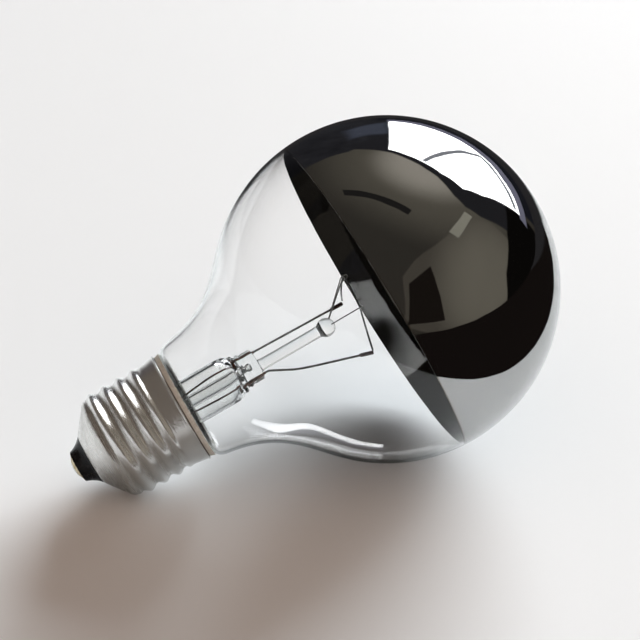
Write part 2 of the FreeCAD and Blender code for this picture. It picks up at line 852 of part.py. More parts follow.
def side_wire():
    """From the far seal wire, round the seal and up the throat, over the lip."""
    seat = value("stem_angle") + 180
    side = value("side_wire_angle")
    track = side_wire_radius()
    below = value("seal_height - flare_wall - copper_radius - copper_radius - fit_gap")
    crest = value("lip_height + side_wire_rise")
    outside = value("lip_radius + copper_radius + fit_gap")
    return wire_feature("side_wire", swept_wire([
        polar(value("lead_spacing"), seat, value("seal_wire_foot")),
        polar(value("lead_spacing"), seat, value("flare_top - flare_radius")),
        polar(value("copper_clear"), seat - value("copper_swing_angle"), value("throat_height")),
        polar(value("copper_clear"), side, value("seal_height")),
        polar(value("flare_radius + flare_bell"), side, below),
        polar(track, side, below),
        polar(track, side, value("lip_height")),
        polar((track + outside) / 2, side, crest),
        polar(outside, side, value("lip_height")),
        polar(outside, side, value("rim_height - lip_length")),
    ], value("copper_radius")))


def side_weld():
    """A bead of solder that holds the side wire on the band."""
    bead = doc.addObject("Part::Sphere", "weld_bead")
    bead.setExpression("Radius", bound("weld_radius"))
    bead.Placement.Base = polar(value("lip_radius"), value("side_wire_angle"),
                                value("rim_height - lip_length - weld_radius"))
    seat = doc.addObject("Part::Cylinder", "weld_seat")
    seat.setExpression("Radius", bound("rim_radius + fused_gap"))
    seat.setExpression("Height", bound("lip_height"))
    weld = doc.addObject("Part::Cut", "side_weld")
    weld.Base = bead
    weld.Tool = seat
    weld.Label = "side_weld"
    return weld


# The lamp at rest

def lean():
    """The axis's slope when the globe and the foot of the cap both touch down."""
    edge = [(value("shoulder_radius"), value("shoulder_height"))]
    span = value("thread_end - thread_start")
    for step in range(401):
        height = value("thread_start") + span * step / 400
        radius, centre = thread_circle(height, 0.0)
        edge.append((radius + centre.x, height))

    def clearance(slope):
        return min(value("globe_radius") - (value("globe_height") - height) * sin(slope)
                   - radius * cos(slope) for radius, height in edge)

    low, high = 0.0, pi / 4
    for _ in range(60):
        middle = (low + high) / 2
        if clearance(middle) > 0:
            low = middle
        else:
            high = middle
    return degrees(low)


def lay_down(pieces, turned_pieces):
    """Lay every piece down together and stand the frame under their middle."""
    tilt = Rotation(Vector(0, 1, 0), 90 - lean())
    own = {piece.Label: piece.Placement for piece in pieces}
    lift = Vector(0, 0, value("globe_radius")) - tilt.multVec(
        Vector(0, 0, value("globe_height")))

    def place(shift):
        for piece in pieces:
            start = own[piece.Label]
            if piece.Label in turned_pieces:
                start = Placement(Vector(), Rotation(Vector(0, 0, 1), value("stem_angle")))
            piece.Placement = Placement(lift + shift, tilt).multiply(start)
        doc.recompute()

    place(Vector())
    boxes = [piece.Shape.optimalBoundingBox(False, False) for piece in pieces]
    middle = (min(box.XMin for box in boxes) + max(box.XMax for box in boxes)) / 2
    place(Vector(-middle, 0, 0))


near_run = lead_run(value("stem_angle"), "near")
far_run = lead_run(value("stem_angle") + 180, "far")
pieces = [
    glass_globe(),
    mirror_coating(),
    flare_stem(),
    exhaust_tube(),
    glass_rod(),
    cap_shell(),
    cap_insulator(),
    centre_contact(),
    centre_solder(),
    basing_cement(),
    inner_lead("inner_lead_near", near_run, value("near_lead_angle") + 90),
    inner_lead("inner_lead_far", far_run, value("far_lead_angle")),
    filament(near_run, far_run),
    seal_wire("seal_wire_near", 0),
    seal_wire("seal_wire_far", 180),
    centre_wire(),
    side_wire(),
    side_weld(),
]
pieces += [support(f"support_{number}", held)
           for number, held in enumerate(held_points(), start=1)]
doc.recompute()
lay_down(pieces, ["flare_stem"])

for item in doc.Objects:
    if "Invalid" in item.State or "Error" in item.State:
        raise RuntimeError(f"{item.Name} did not build: {item.State}")
for piece in pieces:
    if piece.Shape.isNull() or not piece.Shape.isValid():
        raise RuntimeError(f"{piece.Label} has no valid shape")

os.makedirs("parts", exist_ok=True)
for piece in pieces:
    piece.Shape.exportStep(f"parts/{piece.Label}.step")
    box = piece.Shape.optimalBoundingBox(False, False)
    print(f"{piece.Label}: {len(piece.Shape.Solids)} solid, {piece.Shape.Volume:.2f} mm3, "
          f"x {box.XMin:.2f} {box.XMax:.2f} y {box.YMin:.2f} {box.YMax:.2f} "
          f"z {box.ZMin:.2f} {box.ZMax:.2f}")
print(f"lean {lean():.3f} degrees")
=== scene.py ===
# %% [markdown]
# # A half-mirror globe bulb
# The object is an old-style light bulb that lies on its side: a clear blown globe whose dome is
# silvered on the inside, a glass stem with its wires and filament, and a screw cap. The solids
# come from the CAD model. This lesson dresses them: it works out finer surfaces with numpy where
# light shows every facet, and gives each piece a material made of nodes.

import math

import bmesh
import bpy
import numpy as np
from mathutils import Matrix, Vector


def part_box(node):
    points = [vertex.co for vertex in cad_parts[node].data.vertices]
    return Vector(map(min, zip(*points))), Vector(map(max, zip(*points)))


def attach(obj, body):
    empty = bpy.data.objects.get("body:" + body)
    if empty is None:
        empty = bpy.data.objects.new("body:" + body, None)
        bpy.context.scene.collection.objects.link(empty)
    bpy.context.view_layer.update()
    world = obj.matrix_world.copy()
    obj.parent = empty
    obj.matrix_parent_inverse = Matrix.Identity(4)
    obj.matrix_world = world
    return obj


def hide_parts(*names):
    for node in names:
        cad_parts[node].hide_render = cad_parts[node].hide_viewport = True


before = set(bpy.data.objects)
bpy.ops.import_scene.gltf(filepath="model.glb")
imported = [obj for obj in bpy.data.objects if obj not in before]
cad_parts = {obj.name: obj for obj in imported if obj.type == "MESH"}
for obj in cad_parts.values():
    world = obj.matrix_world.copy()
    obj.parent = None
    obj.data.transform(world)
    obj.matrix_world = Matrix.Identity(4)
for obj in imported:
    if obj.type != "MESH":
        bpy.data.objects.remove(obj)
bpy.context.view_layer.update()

# %% [markdown]
# ## The bulb's own frame
# Every piece of a bulb is round about one axis, so it is easiest to draw upright: z runs up the
# axis in millimetres from the tip of the centre contact, and the whole is then laid down. The
# bulb rests on its globe and on its cap, so the axis leans up towards the dome.

# %% Lay upright points down into the scene
LEAN = math.radians(23.318)
GLOBE_HEIGHT = 82.25
GLOBE_RADIUS = 40.0
GLOBE_CENTRE = np.array([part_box("glass_globe")[1][0] * 1000 - GLOBE_RADIUS, 0.0, GLOBE_RADIUS])
AXIS = np.array([math.cos(LEAN), 0.0, math.sin(LEAN)])
SIDE = np.array([math.sin(LEAN), 0.0, -math.cos(LEAN)])
ACROSS = np.array([0.0, 1.0, 0.0])


def laid(points):
    """Upright mm to scene metres: centre + x side + y across + (z - centre height) axis."""
    points = np.asarray(points, dtype=float)
    x, y, z = points[..., 0:1], points[..., 1:2], points[..., 2:3] - GLOBE_HEIGHT
    return (GLOBE_CENTRE + x * SIDE + y * ACROSS + z * AXIS) / 1000


print("globe centre, mm:", GLOBE_CENTRE.round(3))

# %% [markdown]
# ## Surfaces from two parameters
# A shape is a grid of points: rows run along one parameter and columns along the other. A piece
# that is turned on a lathe has a profile for its rows and angles for its columns. Columns that
# close on themselves make a tube; rows that close too make a ring.

# %% Turn a grid of points into a mesh piece
def grid_piece(name, points, node=None, closed_rows=False, closed_columns=True,
               sharp=35.0):
    """Quads between neighbours (i, j), (i, j+1), (i+1, j+1), (i+1, j) of a grid of points."""
    rows, columns = points.shape[:2]
    number = np.arange(rows * columns).reshape(rows, columns)
    next_row = np.roll(number, -1, axis=0)
    if not closed_rows:
        number, next_row = number[:-1], next_row[:-1]
    ring, next_ring = np.roll(number, -1, axis=1), np.roll(next_row, -1, axis=1)
    quads = np.stack([number, ring, next_ring, next_row], axis=-1)
    if not closed_columns:
        quads = quads[:, :-1]
    mesh = bpy.data.meshes.new(name)
    mesh.from_pydata(points.reshape(-1, 3), [], quads.reshape(-1, 4).tolist())
    return finished(name, mesh, node, sharp)


def finished(name, mesh, node, sharp):
    """Weld poles and seams, turn the faces outwards, smooth them and hang the piece in place."""
    work = bmesh.new()
    work.from_mesh(mesh)
    bmesh.ops.remove_doubles(work, verts=work.verts, dist=1e-7)
    bmesh.ops.recalc_face_normals(work, faces=work.faces)
    work.to_mesh(mesh)
    work.free()
    mesh.polygons.foreach_set("use_smooth", np.ones(len(mesh.polygons), dtype=bool))
    mesh.set_sharp_from_angle(angle=math.radians(sharp))
    piece = bpy.data.objects.new(name, mesh)
    bpy.context.collection.objects.link(piece)
    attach(piece, "root")
    if node:
        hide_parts(node)
    print(name, "faces:", len(mesh.polygons))
    return piece


def turned(profile, columns):
    """A profile of (radius, height) turned about the axis: (r cos a, r sin a, z)."""
    angle = np.linspace(0, 2 * np.pi, columns, endpoint=False)
    radius, height = profile[:, 0:1], profile[:, 1:2]
    return np.stack([radius * np.cos(angle), radius * np.sin(angle),
                     height * np.ones_like(angle)], axis=-1)


def polar(radius, turn_deg, height):
    """A point at a radius and a turn about the axis: (r cos a, r sin a, z)."""
    return np.array([radius * math.cos(math.radians(turn_deg)),
                     radius * math.sin(math.radians(turn_deg)), height])


def smoothstep(value, low, high):
    """0 below low, 1 above high, else 3t^2 - 2t^3 with t = (value - low) / (high - low)."""
    t = np.clip((value - low) / (high - low), 0, 1)
    return t * t * (3 - 2 * t)


def unit(vector):
    """The vector over its length: v / |v|."""
    return vector / np.linalg.norm(vector, axis=-1, keepdims=True)


def lengths_along(line):
    """How far along a line each point is: the sum of the steps |p(i+1) - p(i)| before it."""
    return np.concatenate([[0], np.cumsum(np.linalg.norm(np.diff(line, axis=0), axis=1))])


def softened(line, count):
    """Each point becomes the mean of the count points round it; the ends are held."""
    held = np.concatenate([np.repeat(line[:1], count // 2, axis=0), line,
                           np.repeat(line[-1:], count // 2, axis=0)])
    return np.stack([np.convolve(held[:, k], np.ones(count) / count, mode="valid")
                     for k in range(3)], axis=-1)


# %% [markdown]
# ## The blown globe
# The glass is one line turned about the axis: a straight throat that the cap's cement grips, a
# small flare to the shoulder, a short neck, one long sweep and the ball. In the CAD model the
# line is made of tangent arcs. Where two arcs meet the direction agrees but the curvature jumps,
# and a highlight shows that as a kink. Blown glass has no such jumps, so the line's direction is
# averaged over a few millimetres and drawn again from the dome down. On an arc the average
# changes nothing. The line has a point every 0.1 mm; the mesh keeps few of them on the ball and
# more where it bends.

# %% Work out the glass line
GLASS_WALL = 0.7
THROAT_RADIUS = 11.3
THROAT_HEIGHT = 27.5
SEAL_HEIGHT = 14.1
THROAT_BEND = 2.0
SHOULDER_BEND = 3.0
NECK_RADIUS = 14.3
NECK_TAPER = math.radians(8.5)
NECK_LENGTH = 2.4
EASE_STEP, EASE_NARROW, EASE_WIDE = 0.1, 0.5, 5.0


def arc(centre, start, end, count):
    """Points on the circle about a centre, from one angle to another the short way round."""
    first = math.atan2(*(start - centre)[::-1])
    turn = (math.atan2(*(end - centre)[::-1]) - first + np.pi) % (2 * np.pi) - np.pi
    angle = first + turn * np.linspace(0, 1, count)
    radius = np.linalg.norm(start - centre)
    return centre + radius * np.stack([np.cos(angle), np.sin(angle)], axis=-1)


def glass_line():
    """Dome, sweep, neck, shoulder, bend and throat as tangent arcs, from the pole down."""
    throat = np.array([THROAT_RADIUS, THROAT_HEIGHT])
    foot = np.array([THROAT_RADIUS, SEAL_HEIGHT])
    throat_centre = throat + [THROAT_BEND, 0]
    reach = THROAT_BEND + SHOULDER_BEND
    across = throat_centre[0] - (NECK_RADIUS - SHOULDER_BEND)
    neck_centre = throat_centre + [-across, math.sqrt(reach ** 2 - across ** 2)]
    bend = throat_centre + (neck_centre - throat_centre) * THROAT_BEND / reach
    outward = np.array([math.cos(NECK_TAPER), -math.sin(NECK_TAPER)])
    upward = np.array([math.sin(NECK_TAPER), math.cos(NECK_TAPER)])
    neck = neck_centre + outward * SHOULDER_BEND
    neck_end = neck + upward * NECK_LENGTH
    centre = np.array([0.0, GLOBE_HEIGHT])
    gap = neck_end - centre
    sweep = (gap @ gap - GLOBE_RADIUS ** 2) / (2 * (GLOBE_RADIUS - gap @ outward))
    sweep_centre = neck_end + outward * sweep
    join = unit(sweep_centre - centre) * GLOBE_RADIUS + centre
    side, pole = centre + [GLOBE_RADIUS, 0], centre + [0, GLOBE_RADIUS]
    return np.concatenate([
        arc(centre, pole, side, 900)[:-1], arc(centre, side, join, 500)[:-1],
        arc(sweep_centre, join, neck_end, 700)[:-1], np.linspace(neck_end, neck, 60)[:-1],
        arc(neck_centre, neck, bend, 160)[:-1], arc(throat_centre, bend, throat, 120)[:-1],
        np.linspace(throat, foot, 160)])


def eased(line, step=EASE_STEP):
    """Average the direction over s - w to s + w along the line and add the steps up again.

    The half width w grows from 0.5 mm at the throat to 5 mm on the sweep, and shrinks to
    nothing at both ends so that it stays centred. What the end drifts by is given back
    between the sweep and the throat.
    """
    run = lengths_along(line)
    along = np.arange(0, run[-1], step)
    middle = (run[1:] + run[:-1]) / 2
    heading = np.unwrap(np.arctan2(*np.diff(line, axis=0).T[::-1]))
    heading = np.interp(along, middle, heading)
    to_throat = run[-1] - (THROAT_HEIGHT - SEAL_HEIGHT) - along
    width = EASE_NARROW + (EASE_WIDE - EASE_NARROW) * smoothstep(to_throat, 3.0, 16.0)
    width = np.minimum(width, np.minimum(along, along[-1] - along) + step / 4)
    marks = np.arange(len(along) + 1) * step - step / 2
    for _ in range(2):
        total = np.concatenate([[0], np.cumsum(heading) * step])
        low, high = along - width, along + width
        heading = (np.interp(high, marks, total) - np.interp(low, marks, total)) / (high - low)
    heading = (heading[1:] + heading[:-1]) / 2
    steps = np.stack([np.cos(heading), np.sin(heading)], axis=-1) * step
    drawn = line[0] + np.concatenate([[[0, 0]], np.cumsum(steps, axis=0)])
    drift = line[-1] - drawn[-1]
    share = smoothstep(along, run[-1] * 0.62, run[-1] * 0.86)
    drawn += drift * share[:, None]
    drawn[0] = line[0]
    print("glass line: length", round(run[-1], 2), "drift given back", drift.round(3))
    return drawn


def inner_of(line):
    """The line moved inwards by the wall along its own normal."""
    tangent = unit(np.gradient(line, axis=0))
    moved = line + np.stack([tangent[:, 1], -tangent[:, 0]], axis=-1) * GLASS_WALL
    moved[0] = [0, line[0, 1] - GLASS_WALL]
    return moved


fine_line = eased(glass_line())
END = len(fine_line)
SWEEP, NECK, THROAT = 900, END - 330, END - 140
picks = np.concatenate([np.arange(0, SWEEP, 14), np.arange(SWEEP, NECK, 9),
                        np.arange(NECK, THROAT, 5), np.arange(THROAT, END, 20)])
picks = np.unique(np.append(picks, END - 1))
outer_line, inner_line = fine_line[picks], inner_of(fine_line)[picks]
inner_line[-1, 1] = outer_line[-1, 1] = SEAL_HEIGHT
wall = np.concatenate([outer_line, inner_line[::-1]])
globe = grid_piece("globe_glass", laid(turned(wall, 224)), "glass_globe")

# %% [markdown]
# ## The silvered dome
# The coating is a film on the inside of the glass. It stops at a plane that leans a little,
# because the globe was masked by hand. In polar angles round the plane's own normal the film is a
# plain cap. Refraction carries a film that is on the inner face out to the very outline, so it is
# laid where it is seen, under a last thin skin of glass.

# %% Make the silver film
FILM_RADIUS = GLOBE_RADIUS - 0.06
FILM_THICKNESS = 0.1
MIRROR_HEIGHT = 78.3
MIRROR_LEAN = math.radians(1.85)
MIRROR_TURN = math.radians(176.0)

plane_normal = np.array([math.sin(MIRROR_LEAN) * math.cos(MIRROR_TURN),
                         math.sin(MIRROR_LEAN) * math.sin(MIRROR_TURN), math.cos(MIRROR_LEAN)])
plane_offset = (MIRROR_HEIGHT - GLOBE_HEIGHT) * plane_normal[2]


def film_sheet(radius, rows, columns):
    """A ball's cap beyond a plane: polar angle from 0 at its crown to acos(offset / radius)."""
    tilt = np.linspace(0, math.acos(plane_offset / radius), rows)[:, None]
    turn = np.linspace(0, 2 * np.pi, columns, endpoint=False)
    u = unit(np.cross(plane_normal, [0, 1, 0]))
    v = np.cross(plane_normal, u)
    ring = np.cos(turn)[:, None] * u + np.sin(turn)[:, None] * v
    shell = np.cos(tilt)[..., None] * plane_normal + np.sin(tilt)[..., None] * ring
    return shell * radius + [0, 0, GLOBE_HEIGHT]


film = np.concatenate([film_sheet(FILM_RADIUS, 90, 200),
                       film_sheet(FILM_RADIUS - FILM_THICKNESS, 90, 200)[::-1]])
mirror = grid_piece("silver_film", laid(film), "mirror_coating")

# %% [markdown]
# ## The screw cap
# The shell is rolled from thin aluminium. A rolled thread is a round section carried along a
# small helix: at each height the circle's centre swings about the axis by half the thread's
# depth. Seen from the axis the wall's radius is s cos(a - t) + sqrt(R^2 - s^2 sin^2(a - t)).

# %% Work out the cap's wall
ROOT_RADIUS = 12.2
THREAD_DEPTH = 0.9
THREAD_PITCH = 3.629
FIRST_CREST = 9.88
THREAD_START, THREAD_END = 9.5, 24.3
RUN_IN, RUN_OUT = 2.0, 1.6
BAND_RADIUS, RIM_RADIUS, RIM_HEIGHT = 12.75, 13.2, 27.7
LIP_RADIUS, LIP_LENGTH = 13.42, 0.45
SHELL_WALL = 0.3
FOOT, SHOULDER, KNEE = [6.3, 4.65], [11.6, 8.7], [[11.84, 9.0], [12.05, 9.25]]


def threaded(height, angle, inset):
    """Radius of the threaded wall over a grid of heights and angles."""
    run_in = (height - THREAD_START) / RUN_IN
    run_out = (THREAD_END - height) / RUN_OUT
    grown = np.clip(np.minimum(run_in, run_out), 0, 1)
    swing = grown ** 2 * (3 - 2 * grown) * THREAD_DEPTH / 2
    widening = (BAND_RADIUS - ROOT_RADIUS) * (1 - np.clip(run_out, 0, 1))
    turn = 2 * np.pi * (height - FIRST_CREST) / THREAD_PITCH
    section = ROOT_RADIUS + widening + swing - inset
    lag = angle - turn
    return swing * np.cos(lag) + np.sqrt(section ** 2 - (swing * np.sin(lag)) ** 2)


def cap_side(inset, thread_rows, angle):
    """Foot cone, thread, band and lip as rows of (radius, height) over the angles."""
    ones = np.ones_like(angle)
    plain = np.concatenate([np.linspace(FOOT, SHOULDER, 8), KNEE])
    heights = np.linspace(THREAD_START, THREAD_END, thread_rows)[:, None]
    band = np.linspace([BAND_RADIUS, THREAD_END + 0.3], [RIM_RADIUS, RIM_HEIGHT], 6)
    lip = [[RIM_RADIUS + 0.12, RIM_HEIGHT + 0.03], [LIP_RADIUS, RIM_HEIGHT + 0.16],
           [LIP_RADIUS, RIM_HEIGHT + LIP_LENGTH - 0.08],
           [LIP_RADIUS - 0.08, RIM_HEIGHT + LIP_LENGTH]]
    after = np.concatenate([band, lip])
    radius = np.concatenate([(plain[:, 0:1] - inset) * ones, threaded(heights, angle, inset),
                             (after[:, 0:1] - inset) * ones])
    height = np.concatenate([plain[:, 1:2] * ones, heights * ones, after[:, 1:2] * ones])
    return np.stack([radius * np.cos(angle), radius * np.sin(angle), height], axis=-1)


angles = np.linspace(0, 2 * np.pi, 256, endpoint=False)
shell = np.concatenate([cap_side(0.0, 130, angles), cap_side(SHELL_WALL, 60, angles)[::-1]])
cap = grid_piece("cap_metal", laid(shell), "cap_shell", closed_rows=True,
                 sharp=50.0)

# %% [markdown]
# ## The glass stem
# A glassmaker flares one end of a tube, stands the wires and a thin pumping tube in the other
# end, heats it and pinches it flat. The section goes from a circle to a flat press with round
# sides, and the glass flows, so there isn't an edge anywhere. One grid does it: each row is a
# superellipse, |x/a|^n + |y/b|^n = 1, whose half widths a and b and whose power n change along
# the stem.

# %% Draw the stem as one flowing surface
STEM_TURN = -55.4
FLARE_RADIUS, FLARE_WALL, BELL = 5.5, 0.8, 4.5
PRESS_TOP, PRESS_HALF_WIDTH, PRESS_HALF_DEPTH = 48.7, 3.95, 1.75
PINCH_START, PINCH_END = 40.2, 45.4
BORE_TOP = 43.4
BLOW_HOLE = (46.1, 1.05, 0.75)
RIPPLES = (44.2, 1.7, 0.07)
EXHAUST_RADIUS, EXHAUST_BORE, EXHAUST_TIP, TIP_LENGTH = 1.5, 0.9, 11.3, 2.4


def stem_outside(rows, angle):
    """Tube, pinch and press from the top down: |x/a|^n + |y/b|^n = 1.

    Ripples and blow hole are given as a height, a width and a depth. A sine that fades away
    leaves the ripples of the pincers, d sin(4.2 (z - 43)) exp(-((z - at) / w)^2), and the
    blow hole is a dent of d exp(-((z - at) / w)^2 - (x / w)^2).
    """
    crown = np.sin(np.linspace(0.02, 1, 10) * np.pi / 2)
    top = PRESS_TOP - 0.7 * (1 - np.sqrt(1 - np.minimum(crown, 0.999) ** 2))
    heights = np.concatenate([top, np.linspace(top[-1] - 0.15, SEAL_HEIGHT + BELL, rows)])
    size = np.concatenate([0.25 + 0.75 * crown, np.ones(rows)])
    flat = smoothstep(heights, PINCH_START, PINCH_END)
    a = (FLARE_RADIUS + (PRESS_HALF_WIDTH - FLARE_RADIUS) * flat) * size
    b = (FLARE_RADIUS + (PRESS_HALF_DEPTH - FLARE_RADIUS) * flat) * size
    at, width, depth = RIPPLES
    fade = np.exp(-((heights - at) / width) ** 2)
    ripple = 1 + depth * np.sin((heights - 43.0) * 4.2) * fade
    a, b = a * ripple, b * ripple
    power = 2 + 0.6 * flat
    c, s = np.cos(angle)[None], np.sin(angle)[None]
    x = a[:, None] * np.sign(c) * np.abs(c) ** (2 / power[:, None])
    y = b[:, None] * np.sign(s) * np.abs(s) ** (2 / power[:, None])
    at, width, depth = BLOW_HOLE
    dent = depth * np.exp(-(((heights[:, None] - at) / width) ** 2 + (x / width) ** 2))
    y = y + np.where(y < 0, 1, 0) * dent * np.clip(-y / PRESS_HALF_DEPTH, 0, 1)
    return np.stack([x, y, heights[:, None] * np.ones_like(x)], axis=-1)


def bell_profile():
    """Out over the bell, round the flange, up the bore, and down the pumping tube to its tip."""
    centre = np.array([FLARE_RADIUS + BELL, SEAL_HEIGHT + BELL])
    outside = arc(centre, np.array([FLARE_RADIUS, centre[1]]),
                  np.array([centre[0], SEAL_HEIGHT]), 20)
    inner = arc(centre, np.array([centre[0], SEAL_HEIGHT - FLARE_WALL]),
                np.array([FLARE_RADIUS - FLARE_WALL, centre[1]]), 20)
    bore = FLARE_RADIUS - FLARE_WALL
    straight = np.linspace([bore, centre[1]], [bore, BORE_TOP - bore], 24)[1:-1]
    lip = BORE_TOP - bore + math.sqrt(bore ** 2 - (EXHAUST_RADIUS + 0.3) ** 2)
    roof = arc(np.array([0.0, BORE_TOP - bore]), np.array([bore, BORE_TOP - bore]),
               np.array([EXHAUST_RADIUS + 0.3, lip]), 16)
    pump = np.linspace([EXHAUST_RADIUS, lip - 0.3], [EXHAUST_RADIUS, EXHAUST_TIP + TIP_LENGTH], 30)
    taper = np.linspace(0, np.pi / 2, 14)[1:]
    tip = np.stack([EXHAUST_RADIUS * np.cos(taper),
                    EXHAUST_TIP + TIP_LENGTH * (1 - np.sin(taper))], axis=-1)
    flange = np.array([[THROAT_RADIUS - 0.02, SEAL_HEIGHT - 0.02],
                       [THROAT_RADIUS - 0.02, SEAL_HEIGHT - FLARE_WALL]])
    return np.concatenate([outside[1:], flange, inner, straight, roof, pump, tip])


def swung(points, turn_deg):
    """Points turned about the axis by an angle."""
    c, s = math.cos(math.radians(turn_deg)), math.sin(math.radians(turn_deg))
    return points @ np.array([[c, s, 0], [-s, c, 0], [0, 0, 1.0]])


around = np.linspace(0, 2 * np.pi, 96, endpoint=False)
stem_points = np.concatenate([stem_outside(110, around), turned(bell_profile(), 96)])
stem = grid_piece("stem_glass", laid(swung(stem_points, STEM_TURN)), "flare_stem",
                  sharp=60.0)
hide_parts("exhaust_tube")

# %% [markdown]
# The pumping tube's bore is a hollow in that glass. It is a shell of its own whose faces look
# inwards, so light that meets it leaves glass and enters air.

# %% Hollow out the pumping tube
bore_z = np.linspace(EXHAUST_TIP + 2.6, 46.4, 90)
bore_r = EXHAUST_BORE * (1 + 0.10 * np.sin(bore_z * 1.1) * smoothstep(bore_z, 40, 43))
bore_r += 0.25 * np.exp(-((bore_z - BLOW_HOLE[0]) / 0.6) ** 2)
end = np.linspace(0, np.pi / 2, 9)[1:]
bore_line = np.concatenate([
    np.stack([bore_r[0] * np.sin(end), bore_z[0] - 0.7 * np.cos(end)], axis=-1),
    np.stack([bore_r, bore_z], axis=-1),
    np.stack([bore_r[-1] * np.cos(end), bore_z[-1] + 0.7 * np.sin(end)], axis=-1)])
bore_line = np.concatenate([[[0, bore_z[0] - 0.7]], bore_line])
hollow = grid_piece("pumping_bore", laid(turned(bore_line, 40)), None)
hollow.data.flip_normals()

# %% [markdown]
# The rod is drawn out of the press in a flame and its end is melted to a button, into which the
# hot supports are pushed. Its profile joins a cylinder and a ball with a soft maximum, (a^p +
# b^p)^(1/p), which rounds the join as surface tension does.

# %% Draw the rod and its button
ROD_RADIUS, ROD_OFFSET, ROD_TURN = 1.35, 0.7, -35.4
BUTTON_RADIUS, BUTTON_HEIGHT = 2.2, 65.9

rod_z = np.concatenate([np.linspace(PRESS_TOP, 62.5, 50), np.linspace(62.6, BUTTON_HEIGHT, 30)])
ball = np.sqrt(np.clip(BUTTON_RADIUS ** 2 - (rod_z - BUTTON_HEIGHT) ** 2, 0, None))
rod_r = (ROD_RADIUS ** 8 + ball ** 8) ** (1 / 8) + 0.16 * np.exp(-(rod_z - PRESS_TOP) / 0.5)
rod_r = np.minimum(rod_r, BUTTON_RADIUS)
cap_turn = np.linspace(0, np.pi / 2, 16)[1:]
crown = np.stack([BUTTON_RADIUS * np.cos(cap_turn),
                  BUTTON_HEIGHT + BUTTON_RADIUS * np.sin(cap_turn)], axis=-1)
foot = np.array([[0.0, PRESS_TOP], [ROD_RADIUS, PRESS_TOP]])
rod_line = np.concatenate([foot, np.stack([rod_r, rod_z], axis=-1), crown])
rod_place = polar(ROD_OFFSET, ROD_TURN, 0)
rod = grid_piece("rod_glass", laid(turned(rod_line, 64) + rod_place), "glass_rod")

# %% [markdown]
# ## The coiled filament
# The filament is a very thin tungsten wire wound into a long coil, which hangs in five holds: a
# clamp at either end and three hooks. Between two holds the coil sags outwards in a shallow bow.
# The winding runs round that line: p(s) = c(s) + R (cos(ks) u(s) + sin(ks) v(s)).

# %% Wind the coil along its holds
COIL_RADIUS, COIL_WIRE, COIL_PITCH, COIL_SAG = 0.17, 0.05, 0.17, 0.81
LEAD_RADIUS, CLAMP_RADIUS, CLAMP_LENGTH = 0.27, 0.48, 3.0
RING_TURN, RING_HEIGHT, RING_RADIUS = -35.4, 75.2, 9.5


def lead_points(seat, turn, reach, bow):
    """The lead's foot, knee, belly and head, as in the CAD model."""
    start = polar(2.9, seat, 49.0)
    knee = start + [0, 0, 0.9]
    head = start + polar(reach, turn, 25.0)
    belly = knee + (head - knee) * 0.25 + polar(bow, turn, 0)
    return start, knee, belly, head


def grip(points):
    """The middle of the clamp, back along the lead from its head."""
    belly, head = points[2:]
    return head + unit(belly - head) * CLAMP_LENGTH / 2


near_points = lead_points(STEM_TURN, -28.4, 8.9, 1.1)
far_points = lead_points(STEM_TURN + 180, 51.0, 6.6, 0.2)
near_grip, far_grip = grip(near_points), grip(far_points)
ring_centre = polar(1.5, RING_TURN, RING_HEIGHT)
held = [ring_centre + polar(RING_RADIUS, RING_TURN + turn, 0) - [0, 0, drop]
        for turn, drop in ((-95.0, 1.1), (-155.0, 0.0), (156.0, 0.0))]
stand_off = LEAD_RADIUS + 0.32
holds = [near_grip + unit(held[0] - near_grip) * stand_off, *held,
         far_grip + unit(held[-1] - far_grip) * stand_off]

line = []
for start, end in zip(holds, holds[1:]):
    middle = (start + end) / 2
    sag = COIL_SAG * np.linalg.norm(end - start) / RING_RADIUS
    t = np.linspace(0, 1, 160)[:-1, None]
    line.append(start + (end - start) * t + unit(middle - ring_centre) * sag * 4 * t * (1 - t))
line = softened(np.concatenate([*line, [holds[-1]]]), 9)


def frames(line):
    """Two unit vectors across a line at each point, carried along with little twist."""
    tangent = unit(np.gradient(line, axis=0))
    u = unit(np.cross(tangent, [0.31, 0.87, 0.21]))
    return u, np.cross(tangent, u)


def swept(name, line, radii, sides, node):
    """A tube c(s) + r(s) (cos(a) u(s) + sin(a) v(s)) along a line, pointed at both ends."""
    u, v = frames(line)
    side = np.linspace(0, 2 * np.pi, sides, endpoint=False)[None, :, None]
    radii = np.concatenate([[0], np.broadcast_to(radii, len(line))[1:-1], [0]])[:, None, None]
    tube = line[:, None] + radii * (np.cos(side) * u[:, None] + np.sin(side) * v[:, None])
    return grid_piece(name, laid(tube), node, sharp=180.0)


def inner_lead(name, points, node):
    """A bent wire whose last three millimetres are folded and squeezed into a thick clamp."""
    rough = np.concatenate([np.linspace(a, b, 60)[:-1] for a, b in zip(points, points[1:])])
    line = softened(rough, 31)
    line = np.concatenate([line[:1] - unit(line[8:9] - line[:1]) * 0.02, line,
                           line[-1:] + unit(line[-1:] - line[-9:-8]) * 0.02])
    left = np.linalg.norm(line - line[-1], axis=1)
    fold = smoothstep(-left, -CLAMP_LENGTH - 0.15, -CLAMP_LENGTH)
    radii = LEAD_RADIUS * 0.93 + (CLAMP_RADIUS - LEAD_RADIUS) * fold
    return swept(name, line, radii, 14, node)


near_wire = inner_lead("near_lead", near_points, "inner_lead_near")
far_wire = inner_lead("far_lead", far_points, "inner_lead_far")

run = lengths_along(line)
marks = np.arange(0, run[-1], COIL_PITCH / 10)
centre_line = np.stack([np.interp(marks, run, line[:, k]) for k in range(3)], axis=-1)
u, v = frames(centre_line)
phase = 2 * np.pi * marks[:, None] / COIL_PITCH
winding = centre_line + COIL_RADIUS * (np.cos(phase) * u + np.sin(phase) * v)
coil = swept("tungsten_coil", winding, COIL_WIRE, 6, "filament")
print("coil turns:", int(run[-1] / COIL_PITCH), "length, mm:", round(run[-1], 1))

